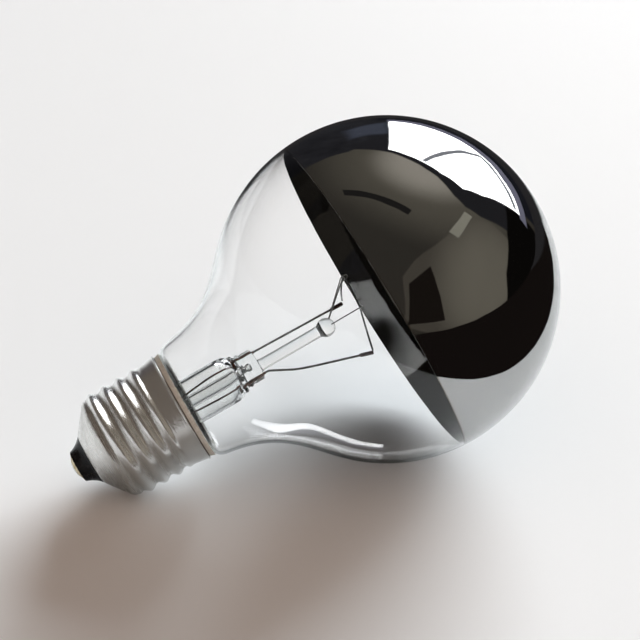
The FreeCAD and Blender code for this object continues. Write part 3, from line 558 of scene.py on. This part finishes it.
# %% [markdown]
# ## Materials
# Each finish is a small tree of nodes round one Principled shader. Numbers that are the same all
# over a piece sit on the shader's own sockets, and what changes over it is worked out from place.
# All finishes share one group, which gives a point's place in the bulb's own upright frame, so
# marks can follow the axis: its radius, its turn about the axis and its height.

# %% Helpers for node trees
def add(tree, kind, **settings):
    """A node with its properties set."""
    node = tree.nodes.new(kind)
    for name, setting in settings.items():
        setattr(node, name, setting)
    return node


def feed(tree, socket, thing):
    """Set a socket to a number or a tuple, or link another node's socket to it."""
    if isinstance(thing, bpy.types.NodeSocket):
        tree.links.new(thing, socket)
    elif isinstance(thing, tuple) and len(thing) == 3 and socket.type == "RGBA":
        socket.default_value = (*thing, 1.0)
    else:
        socket.default_value = thing


def maths(tree, operation, *terms):
    """One Math node over numbers and sockets."""
    node = add(tree, "ShaderNodeMath", operation=operation)
    for socket, term in zip(node.inputs, terms):
        feed(tree, socket, term)
    return node.outputs[0]


def dot(tree, place, vector):
    """The dot product of a place with a fixed vector."""
    node = add(tree, "ShaderNodeVectorMath", operation="DOT_PRODUCT")
    feed(tree, node.inputs[0], place)
    node.inputs[1].default_value = tuple(float(number) for number in vector)
    return node.outputs["Value"]


def ranged(tree, value, low, high, start=0.0, end=1.0):
    """Map a value from low..high to start..end, eased and clamped."""
    node = add(tree, "ShaderNodeMapRange", interpolation_type="SMOOTHSTEP")
    for name, thing in (("Value", value), ("From Min", low), ("From Max", high),
                        ("To Min", start), ("To Max", end)):
        feed(tree, node.inputs[name], thing)
    return node.outputs["Result"]


def mixed(tree, mask, below, above):
    """Colour below where the mask is 0 and above where it is 1."""
    node = add(tree, "ShaderNodeMix", data_type="RGBA")
    feed(tree, node.inputs[0], mask)
    feed(tree, node.inputs[6], below)
    feed(tree, node.inputs[7], above)
    return node.outputs[2]


# %% A shared group that gives a point's place on the bulb
def upright_group():
    """Outputs place (mm, axis along z), radius, turn in degrees and height."""
    group = bpy.data.node_groups.new("upright_place", "ShaderNodeTree")
    for name, kind in (("Place", "NodeSocketVector"), ("Radius", "NodeSocketFloat"),
                       ("Turn", "NodeSocketFloat"), ("Height", "NodeSocketFloat")):
        group.interface.new_socket(name, in_out="OUTPUT", socket_type=kind)
    output = group.nodes.new("NodeGroupOutput")
    source = add(group, "ShaderNodeTexCoord")
    shift = add(group, "ShaderNodeVectorMath", operation="SUBTRACT")
    group.links.new(source.outputs["Object"], shift.inputs[0])
    shift.inputs[1].default_value = tuple(GLOBE_CENTRE / 1000)
    x = dot(group, shift.outputs[0], SIDE * 1000)
    y = dot(group, shift.outputs[0], ACROSS * 1000)
    z = maths(group, "ADD", dot(group, shift.outputs[0], AXIS * 1000), GLOBE_HEIGHT)
    place = add(group, "ShaderNodeCombineXYZ")
    for socket, value in zip(place.inputs, (x, y, z)):
        group.links.new(value, socket)
    radius = maths(group, "SQRT", maths(group, "ADD", maths(group, "MULTIPLY", x, x),
                                        maths(group, "MULTIPLY", y, y)))
    turn = maths(group, "MULTIPLY", maths(group, "ARCTAN2", y, x), 57.2958)
    for name, value in (("Place", place.outputs[0]), ("Radius", radius), ("Turn", turn),
                        ("Height", z)):
        group.links.new(value, output.inputs[name])
    return group


UPRIGHT = upright_group()


def upright(tree):
    """The group's node in a material."""
    node = add(tree, "ShaderNodeGroup")
    node.node_tree = UPRIGHT
    return node.outputs


def noise(tree, place, scale, detail=3.0, roughness=0.55, stretch=None):
    """Noise from 0 to 1 over a place in millimetres, with features 1/scale mm long."""
    if stretch:
        node = add(tree, "ShaderNodeVectorMath", operation="MULTIPLY")
        feed(tree, node.inputs[0], place)
        node.inputs[1].default_value = stretch
        place = node.outputs[0]
    node = add(tree, "ShaderNodeTexNoise")
    feed(tree, node.inputs["Vector"], place)
    for name, number in (("Scale", scale), ("Detail", detail), ("Roughness", roughness)):
        node.inputs[name].default_value = number
    return node.outputs["Fac"]


def bumped(tree, shader, height, distance, strength=1.0):
    """Tilt the shader's normal by a height map; the distance is in millimetres."""
    node = add(tree, "ShaderNodeBump")
    node.inputs["Strength"].default_value = strength
    node.inputs["Distance"].default_value = distance / 1000
    tree.links.new(height, node.inputs["Height"])
    tree.links.new(node.outputs["Normal"], shader.inputs["Normal"])


def new_material(name, **values):
    """A material whose Principled shader holds the constant values given by socket name."""
    material = bpy.data.materials.new(name)
    material.use_nodes = True
    shader = material.node_tree.nodes["Principled BSDF"]
    for socket, number in values.items():
        feed(material.node_tree, shader.inputs[socket.replace("_", " ")], number)
    return material, material.node_tree, shader


def dress(piece, material):
    """Give a piece one material."""
    piece.data.materials.clear()
    piece.data.materials.append(material)


# %% [markdown]
# ### Clear glass
# Thin glass hardly darkens the floor under it, but a path tracer's shadow rays can't bend through
# a refracting surface and would find it black. For shadow rays alone the glass is a clear filter.
# What it lets through at a slant follows the usual rule for reflections, 1 - (1 - cos a)^5.
# Handling leaves a faint bloom, which is a little roughness in patches. The globe's index is set
# a little low, because four thin walls in a dim room would otherwise mirror away more light than
# the photo shows.

# %% Make the glasses
def clear_glass(name, tint, index, bloom, wave, clearest):
    """Refracting glass, and a nearly clear filter for shadow rays."""
    material, tree, shader = new_material(name, Base_Color=tint, IOR=index,
                                          Transmission_Weight=1.0)
    nodes, links = tree.nodes, tree.links
    place = upright(tree)["Place"]
    patches = noise(tree, place, 0.09, 5.0)
    feed(tree, shader.inputs["Roughness"], ranged(tree, patches, 0.56, 0.8, 0.0, bloom))
    bumped(tree, shader, noise(tree, place, 0.14, 1.0), wave)
    facing = add(tree, "ShaderNodeLayerWeight")
    facing.inputs["Blend"].default_value = 0.5
    slant = maths(tree, "POWER", facing.outputs["Facing"], 5.0)
    passing = nodes.new("ShaderNodeBsdfTransparent")
    feed(tree, passing.inputs["Color"],
         maths(tree, "MULTIPLY", maths(tree, "SUBTRACT", 1.0, slant), clearest))
    path = nodes.new("ShaderNodeLightPath")
    mix = nodes.new("ShaderNodeMixShader")
    links.new(path.outputs["Is Shadow Ray"], mix.inputs["Fac"])
    links.new(shader.outputs["BSDF"], mix.inputs[1])
    links.new(passing.outputs["BSDF"], mix.inputs[2])
    links.new(mix.outputs["Shader"], nodes["Material Output"].inputs["Surface"])
    return material


globe_glass = clear_glass("globe_glass", (1.0, 1.0, 1.0), 1.38, 0.012, 0.02, 0.985)
stem_glass = clear_glass("stem_glass", (0.985, 0.99, 0.985), 1.5, 0.02, 0.10, 0.96)
dress(globe, globe_glass)

# %% [markdown]
# ### The silver
# Evaporated silver copies the blown glass behind it, so its waviness is the glass's. At its edge
# the film thins out within a few tenths of a millimetre and turns brownish. Pinholes show as
# specks.

# %% Make the silver
silver, tree, shader = new_material("silver_film", Metallic=1.0)
place = upright(tree)["Place"]
edge = maths(tree, "SUBTRACT", dot(tree, place, plane_normal),
             float(plane_offset + GLOBE_HEIGHT * plane_normal[2]))
rim = ranged(tree, edge, 0.0, 0.35)
tarnish = noise(tree, place, 0.06, 4.0)
body = mixed(tree, tarnish, (0.43, 0.425, 0.42), (0.37, 0.366, 0.36))
specks = ranged(tree, noise(tree, place, 3.2, 1.0), 0.80, 0.84)
body = mixed(tree, specks, body, (0.30, 0.27, 0.24))
feed(tree, shader.inputs["Base Color"], mixed(tree, rim, (0.22, 0.17, 0.13), body))
feed(tree, shader.inputs["Roughness"], ranged(tree, tarnish, 0.35, 0.8, 0.008, 0.04))
bumped(tree, shader, noise(tree, place, 0.07, 2.0), 0.05)
dress(mirror, silver)

# %% [markdown]
# ### Rolled aluminium
# The shell is pressed from strip and rolled, which draws fine lines round it. Crests rub bright
# in the holder, while dirt and a dull oxide stay in the roots. The crest mask is the radius
# itself.

# %% Make the aluminium
aluminium, tree, shader = new_material("rolled_aluminium", Metallic=0.82)
out = upright(tree)
along = add(tree, "ShaderNodeCombineXYZ")
feed(tree, along.inputs[0], maths(tree, "MULTIPLY", out["Turn"], 0.02))
feed(tree, along.inputs[1], out["Radius"])
feed(tree, along.inputs[2], out["Height"])
lines = noise(tree, along.outputs[0], 3.5, 4.0, 0.65, stretch=(0.6, 1.0, 2.4))
blotches = noise(tree, out["Place"], 0.35, 4.0)
crest = maths(tree, "MULTIPLY", ranged(tree, out["Radius"], 12.35, 13.05),
              ranged(tree, out["Height"], 24.6, 24.2))
grime = maths(tree, "MULTIPLY", ranged(tree, out["Radius"], 12.6, 12.15), blotches)
metal = mixed(tree, blotches, (0.95, 0.945, 0.935), (0.87, 0.86, 0.845))
metal = mixed(tree, maths(tree, "MULTIPLY", grime, 0.55), metal, (0.46, 0.43, 0.39))
metal = mixed(tree, maths(tree, "MULTIPLY", crest, 0.6), metal, (0.97, 0.965, 0.955))
feed(tree, shader.inputs["Base Color"], metal)
gloss = maths(tree, "ADD", ranged(tree, lines, 0.3, 0.7, 0.11, 0.25),
              maths(tree, "MULTIPLY", grime, 0.22))
feed(tree, shader.inputs["Roughness"], maths(tree, "SUBTRACT", gloss,
                                             maths(tree, "MULTIPLY", crest, 0.07)))
dents = noise(tree, out["Place"], 1.6, 3.0)
bumped(tree, shader, maths(tree, "ADD", maths(tree, "MULTIPLY", lines, 0.8),
                           maths(tree, "MULTIPLY", dents, 0.9)), 0.05)
dress(cap, aluminium)

# %% [markdown]
# ### The small parts
# Black glass is moulded hot and keeps a soft sheen, turned down here because it mirrors a dark
# room. Brass tarnishes in patches. Solder freezes with a slightly lumpy skin. Cement is gritty and
# pale at its free edge; where it sits deep between the glass and the lip it is painted dark, a
# painted shade for that gap. Lead wires turn brown where they got hot, near the clamps; copper is
# clean in the press and browner below.

# %% Make the small parts' finishes
def spotted(name, first, second, scale, smooth, rough, grain, metallic=1.0, detail=4.0, **values):
    """Two colours and two roughnesses mixed by noise, with a grain of a given height in mm."""
    material, tree, shader = new_material(name, Metallic=metallic, **values)
    place = upright(tree)["Place"]
    spots = ranged(tree, noise(tree, place, scale, detail), 0.32, 0.68)
    feed(tree, shader.inputs["Base Color"], mixed(tree, spots, first, second))
    feed(tree, shader.inputs["Roughness"], ranged(tree, spots, 0.0, 1.0, smooth, rough))
    bumped(tree, shader, noise(tree, place, scale * 3.1, detail), grain)
    return material, tree, shader


black_glass, _, _ = spotted("black_glass", (0.006, 0.006, 0.007), (0.014, 0.013, 0.014), 0.6,
                            0.14, 0.30, 0.012, metallic=0.0, IOR=1.5, Specular_IOR_Level=0.12)
brass, _, _ = spotted("contact_brass", (0.62, 0.50, 0.28), (0.42, 0.31, 0.15), 0.9, 0.24, 0.42,
                      0.02)
solder, _, _ = spotted("tin_solder", (0.70, 0.69, 0.66), (0.50, 0.48, 0.45), 1.1, 0.2, 0.42, 0.10)
cement, tree, shader = spotted("cement", (0.84, 0.83, 0.78), (0.68, 0.66, 0.60), 1.8, 0.8, 0.95,
                               0.25, metallic=0.0, detail=8.0)
grit = shader.inputs["Base Color"].links[0].from_socket
# Painted shade: below 28.2 mm, deep between the glass and the lip, the cement is painted near
# black for the shade in that gap.
lip_gap_painted_shade = ranged(tree, upright(tree)["Height"], 28.45, 28.2)
feed(tree, shader.inputs["Base Color"], mixed(tree, lip_gap_painted_shade, grit, (0.03, 0.026, 0.02)))
tungsten, _, _ = spotted("tungsten", (0.13, 0.125, 0.12), (0.05, 0.048, 0.046), 2.5, 0.35, 0.55,
                         0.01)
molybdenum, _, _ = spotted("molybdenum", (0.42, 0.41, 0.40), (0.26, 0.25, 0.24), 1.5, 0.3, 0.5,
                           0.01)

lead_metal, tree, shader = spotted("lead_metal", (0.30, 0.28, 0.26), (0.16, 0.145, 0.13), 0.8,
                                   0.28, 0.48, 0.015)
out = upright(tree)
cool = shader.inputs["Base Color"].links[0].from_socket
hot = maths(tree, "MULTIPLY", ranged(tree, out["Height"], 64.0, 72.0),
            ranged(tree, noise(tree, out["Place"], 0.7, 3.0), 0.2, 0.6, 0.75, 1.0))
feed(tree, shader.inputs["Base Color"], mixed(tree, hot, cool, (0.085, 0.035, 0.03)))

copper, tree, shader = spotted("copper", (0.30, 0.12, 0.07), (0.15, 0.06, 0.04), 0.9, 0.28, 0.5,
                               0.015)
bright = shader.inputs["Base Color"].links[0].from_socket
below = ranged(tree, upright(tree)["Height"], 41.0, 36.0)
feed(tree, shader.inputs["Base Color"], mixed(tree, below, bright, (0.09, 0.05, 0.035)))

for node, material in {
    "cap_insulator": black_glass, "centre_contact": brass, "centre_solder": solder,
    "basing_cement": cement, "seal_wire_near": copper, "seal_wire_far": copper,
    "centre_wire": copper, "side_wire": copper, "side_weld": solder, "support_1": molybdenum,
    "support_2": molybdenum, "support_3": molybdenum,
}.items():
    dress(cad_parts[node], material)
for piece, material in ((stem, stem_glass), (hollow, stem_glass), (rod, stem_glass),
                        (coil, tungsten), (near_wire, lead_metal), (far_wire, lead_metal)):
    dress(piece, material)
print("materials:", len(bpy.data.materials))

# %% [markdown]
# ## The table
# The bulb lies on a white table whose near edge shows in the mirror as a dark curve, and whose
# far edge darkens the mirror's outline. Only mirrored rays find the dark floor past those edges,
# and they find the paper painted greyer: a painted shade on the table that the mirror shows. Rays
# that reach it through glass find the paper painted brighter: a painted light that makes up for
# what the glass takes. For every other ray the table is plain and goes on. A ray that glances off
# the clear glass or the cap, before it has passed any glass, finds a pale glow past the far edge
# on the cap's side: a painted reflection that keeps the outline of clear glass pale, as on a white
# table. Each edge is a straight line: slope * x - y = offset for the near one and slope * x + y =
# offset for the far one, in metres.

# %% Make the table
HALF = 3.0
EDGE_SLOPE, EDGE_OFFSET = 1.05, 0.137
FAR_SLOPE, FAR_OFFSET = 0.1, 0.15
# The third colour is a pale glow past the far edge, a painted reflection for the outlines of the
# glass and the cap.
NEAR_DARK, FAR_DARK, FAR_PAINTED_REFLECTION = (0.013, 0.010, 0.009), (0.036, 0.035, 0.037), (0.62, 0.622, 0.63)
table = bpy.data.meshes.new("table")
table.from_pydata([(-HALF, -HALF, 0), (HALF, -HALF, 0), (HALF, HALF, 0), (-HALF, HALF, 0)], [],
                  [(0, 1, 2, 3)])
floor = bpy.data.objects.new("table", table)
floor.location.z = -0.00005
bpy.context.collection.objects.link(floor)
white, tree, shader = new_material("table_white", Roughness=0.62)
source = add(tree, "ShaderNodeTexCoord").outputs["Object"]
near_edge = ranged(tree, dot(tree, source, (EDGE_SLOPE, -1.0, 0.0)), EDGE_OFFSET - 0.0006,
                   EDGE_OFFSET + 0.0006)
far_edge = ranged(tree, dot(tree, source, (FAR_SLOPE, 1.0, 0.0)), FAR_OFFSET, FAR_OFFSET + 0.05)
past = maths(tree, "MAXIMUM", near_edge, far_edge)
path = add(tree, "ShaderNodeLightPath")
mirrored = maths(tree, "GREATER_THAN", path.outputs["Glossy Depth"], 0.5)
paper = mixed(tree, noise(tree, source, 900.0, 4.0), (0.885, 0.885, 0.885), (0.875, 0.875, 0.875))
# Painted light: rays that reach the table through glass find the paper brighter, 0.95, to make up
# for what the glass takes.
paper_painted_brighter = mixed(tree, path.outputs["Is Transmission Ray"], paper, (0.95, 0.95, 0.95))
# Painted shade: mirrored rays find the paper greyer, 0.70 against 0.885.
feed(tree, shader.inputs["Base Color"], mixed(tree, mirrored, paper_painted_brighter, (0.70, 0.694, 0.688)))
below_edge = add(tree, "ShaderNodeEmission")
# Painted reflection: on the cap's side past the far edge, rays that glance off the clear glass or
# the cap before passing any glass find a pale glow, 0.62, which keeps the glass's outline pale.
cap_side_floor = ranged(tree, dot(tree, source, (1.0, 0.1, 0.0)), 0.03, 0.0)
painted_reflection_rays = maths(tree, "MULTIPLY", cap_side_floor,
                 maths(tree, "LESS_THAN", path.outputs["Transmission Depth"], 0.5))
far_dark_and_painted_reflection = mixed(tree, painted_reflection_rays, FAR_DARK, FAR_PAINTED_REFLECTION)
feed(tree, below_edge.inputs["Color"], mixed(tree, far_edge, NEAR_DARK, far_dark_and_painted_reflection))
choice = add(tree, "ShaderNodeMixShader")
feed(tree, choice.inputs["Fac"], maths(tree, "MULTIPLY", past, mirrored))
tree.links.new(shader.outputs["BSDF"], choice.inputs[1])
tree.links.new(below_edge.outputs["Emission"], choice.inputs[2])
tree.links.new(choice.outputs["Shader"], tree.nodes["Material Output"].inputs["Surface"])
dress(floor, white)

# %% [markdown]
# ## The room
# A mirror shows the room it stands in. The world is worked out from a ray's direction: pale for
# the camera and for rays through glass, a warm half light for what the floor gathers, and for
# mirrored rays a dim room with one tall window. A wall, a curtain or a pane is a polygon seen
# from the bulb. Its sides are great circles, so a direction lies inside when it is on the inner
# side of every plane through the eye and two corners: dot(direction, a x b) > 0.

# %% Draw the room
world = bpy.data.worlds.new("room")
bpy.context.scene.world = world
world.use_nodes = True
room = world.node_tree
room.nodes.clear()
direction = add(room, "ShaderNodeTexCoord").outputs["Generated"]
split = add(room, "ShaderNodeSeparateXYZ")
feed(room, split.inputs[0], direction)


def toward(azimuth_deg, height_deg):
    """A unit vector from its azimuth, clockwise from +y, and its height above the horizon."""
    a, h = math.radians(azimuth_deg), math.radians(height_deg)
    return np.array([math.sin(a) * math.cos(h), math.cos(a) * math.cos(h), math.sin(h)])


def patch(corners, soft=0.006):
    """1 inside a polygon of (azimuth, height) corners and 0 outside, with soft sides."""
    points = [toward(*corner) for corner in corners]
    middle = sum(points)
    inside = None
    for start, end in zip(points, points[1:] + points[:1]):
        side = unit(np.cross(start, end))
        side = side if side @ middle > 0 else -side
        here = ranged(room, dot(room, direction, side), -soft, soft)
        inside = here if inside is None else maths(room, "MINIMUM", inside, here)
    return inside


def glow(azimuth_deg, height_deg, near, far):
    """1 near a direction and 0 far from it, by the cosine of the angle between."""
    return ranged(room, dot(room, direction, toward(azimuth_deg, height_deg)), far, near)


ceiling = mixed(room, glow(60, 55, 0.94, 0.5), (0.046, 0.042, 0.035), (0.135, 0.124, 0.100))
flare = maths(room, "POWER", glow(54, 57, 0.998, 0.85), 1.8)
ceiling = mixed(room, flare, ceiling, (0.46, 0.43, 0.375))
shade = noise(room, direction, 2.6, 4.0)
wall = mixed(room, glow(130, 16, 1.0, 0.72), (0.090, 0.081, 0.066), (0.20, 0.185, 0.15))
folds = mixed(room, noise(room, direction, 9.0, 3.0, stretch=(1.0, 1.0, 0.15)),
              (0.008, 0.008, 0.010), (0.045, 0.046, 0.052))
FEATURES = (
    ("wall", wall, 0.006, [(-171, 36), (176.5, 44.7), (158, 49.4), (132.5, 49.2), (106, 42.8),
                           (98, 31), (96, -6), (165, -6), (-171, 5)]),
    ("door", (0.014, 0.011, 0.009), 0.006, [(166, 39), (-175, 31.5), (-172.5, 6), (164.5, 5)]),
    ("beam", (0.020, 0.019, 0.018), 0.004, [(-44.6, 64.3), (-53.4, 66.2), (157.2, 73.4),
                                            (142.3, 74.2)]),
    ("box", (0.36, 0.35, 0.29), 0.004, [(103.7, 47.2), (103.9, 42.5), (130.3, 44.5),
                                        (132.5, 50.3)]),
    ("left curtain", folds, 0.01, [(-60, 30), (-27.5, 42), (0.2, 43.5), (23, 50.5), (23, -6),
                                   (-60, -6)]),
    ("curtain's light hem", (0.075, 0.085, 0.115), 0.04, [(8, 30), (22.3, 30), (22.3, 11),
                                                          (11, 16)]),
    ("curtain rail", (0.026, 0.026, 0.030), 0.010, [(0, 42), (8, 49.7), (22.4, 56), (56, 58),
                                                    (78, 56.4), (78, 30), (22, 30)]),
    ("gathered curtain", (0.024, 0.024, 0.027), 0.012, [(70, 56.4), (90.4, 52.9), (98.5, 46.8),
                                                        (99, 37.5), (94.7, 25), (91, 14),
                                                        (70, 14)]),
    ("right curtain", (0.005, 0.0045, 0.004), 0.01, [(75, 20), (95, 20), (104, 15.6), (113, 10.9),
                                                     (119, -0.7), (120, -14), (68, -16)]),
    ("below the sill", (0.014, 0.015, 0.020), 0.01, [(20, 6), (70, 6), (66, -5), (20, -5)]),
    ("sill", (0.24, 0.24, 0.32), 0.006, [(22, 9), (76, 10.5), (76, 5.5), (22, 3.5)]),
    ("pane", (5.2, 5.3, 5.4), 0.006, [(22.3, 49.3), (36, 52.7), (66, 52.6), (80, 46), (80, 34),
                                      (73.5, 10.3), (22.3, 8.8)]),
    ("mullion", (0.34, 0.36, 0.40), 0.004, [(46.2, 52.6), (49.6, 52.6), (48.4, 12), (46.4, 12)]),
    ("transom", (0.34, 0.36, 0.40), 0.004, [(47, 13.6), (73, 14.2), (73, 12.2), (47, 11.4)]),
)
reflected = ceiling
for name, tone, soft, corners in FEATURES:
    reflected = mixed(room, patch(corners, soft), reflected, tone)
    if name == "wall":
        below = ranged(room, split.outputs["Z"], 0.02, -0.12)
        reflected = mixed(room, below, reflected, (0.010, 0.008, 0.007))
print("room:", len(FEATURES), "things to mirror")
shaded = add(room, "ShaderNodeMix", data_type="RGBA", blend_type="MULTIPLY")
shaded.inputs[0].default_value = 1.0
room.links.new(reflected, shaded.inputs[6])
room.links.new(mixed(room, shade, (1.10, 1.10, 1.10), (1.25, 1.25, 1.25)), shaded.inputs[7])

rays = add(room, "ShaderNodeLightPath")
mirrored = maths(room, "GREATER_THAN", rays.outputs["Glossy Depth"], 0.5)
seen = maths(room, "MAXIMUM", rays.outputs["Is Camera Ray"], rays.outputs["Is Transmission Ray"])
through = rays.outputs["Is Transmission Ray"]
pale = mixed(room, through, (0.93, 0.93, 0.93), (0.62, 0.62, 0.62))
front = ranged(room, dot(room, direction, toward(199.8, 0)), -1.0, 1.0)
gathered = mixed(room, seen, mixed(room, front, (0.03, 0.024, 0.02), (0.60, 0.467, 0.39)), pale)
background = add(room, "ShaderNodeBackground")
room.links.new(mixed(room, mirrored, gathered, shaded.outputs[2]), background.inputs["Color"])
output = add(room, "ShaderNodeOutputWorld")
room.links.new(background.outputs["Background"], output.inputs["Surface"])

# %% [markdown]
# ## The window's light
# The light that throws the shadow is a large soft lamp where the window is. Its direction and
# size were fitted to the shadow: a low, broad window behind the bulb and to its right. Mirrors,
# glass and the camera don't see the lamp; for them the window is the pane painted in the room.

# %% Hang the window's lamp
light = bpy.data.lights.new("window", "AREA")
light.shape = "RECTANGLE"
light.size, light.size_y = 9.6, 7.0
light.energy = 3780.0
light.color = (0.88, 0.955, 1.0)
window = bpy.data.objects.new("window", light)
WINDOW_DISTANCE = 12.0
away = Vector(toward(48, 18.5))
window.location = Vector((0, 0, 0.04)) + away * WINDOW_DISTANCE
window.rotation_euler = away.to_track_quat("Z", "Y").to_euler()
window.visible_glossy = False
window.visible_transmission = False
window.visible_camera = False
bpy.context.collection.objects.link(window)

# %% [markdown]
# ## The camera
# The photo was taken from above and in front of the cap's side with a long lens. The angles were
# fitted to the globe's outline, the contact's tip and the rim of the cap. The camera looks along
# -back, so its matrix has right, up and back as columns and the eye's place as its last one.

# %% Set the camera
AZIMUTH, ELEVATION = math.radians(-19.765), math.radians(29.539)
right = Vector((math.cos(AZIMUTH), math.sin(AZIMUTH), 0))
back = Vector((math.sin(AZIMUTH) * math.cos(ELEVATION), -math.cos(AZIMUTH) * math.cos(ELEVATION),
               math.sin(ELEVATION)))
up = back.cross(right)
camera = bpy.data.objects.new("camera", bpy.data.cameras.new("camera"))
camera.data.sensor_width = 36
camera.data.lens = 90
camera.data.clip_start = 0.01
EYE = Vector((GLOBE_CENTRE[0] / 1000 - 0.124128, -0.300657, 0.21606))
turn = Matrix((right, up, back)).transposed().to_4x4()
camera.matrix_world = Matrix.Translation(EYE) @ turn
bpy.context.collection.objects.link(camera)
bpy.context.scene.camera = camera
bpy.context.scene.view_settings.view_transform = "Standard"
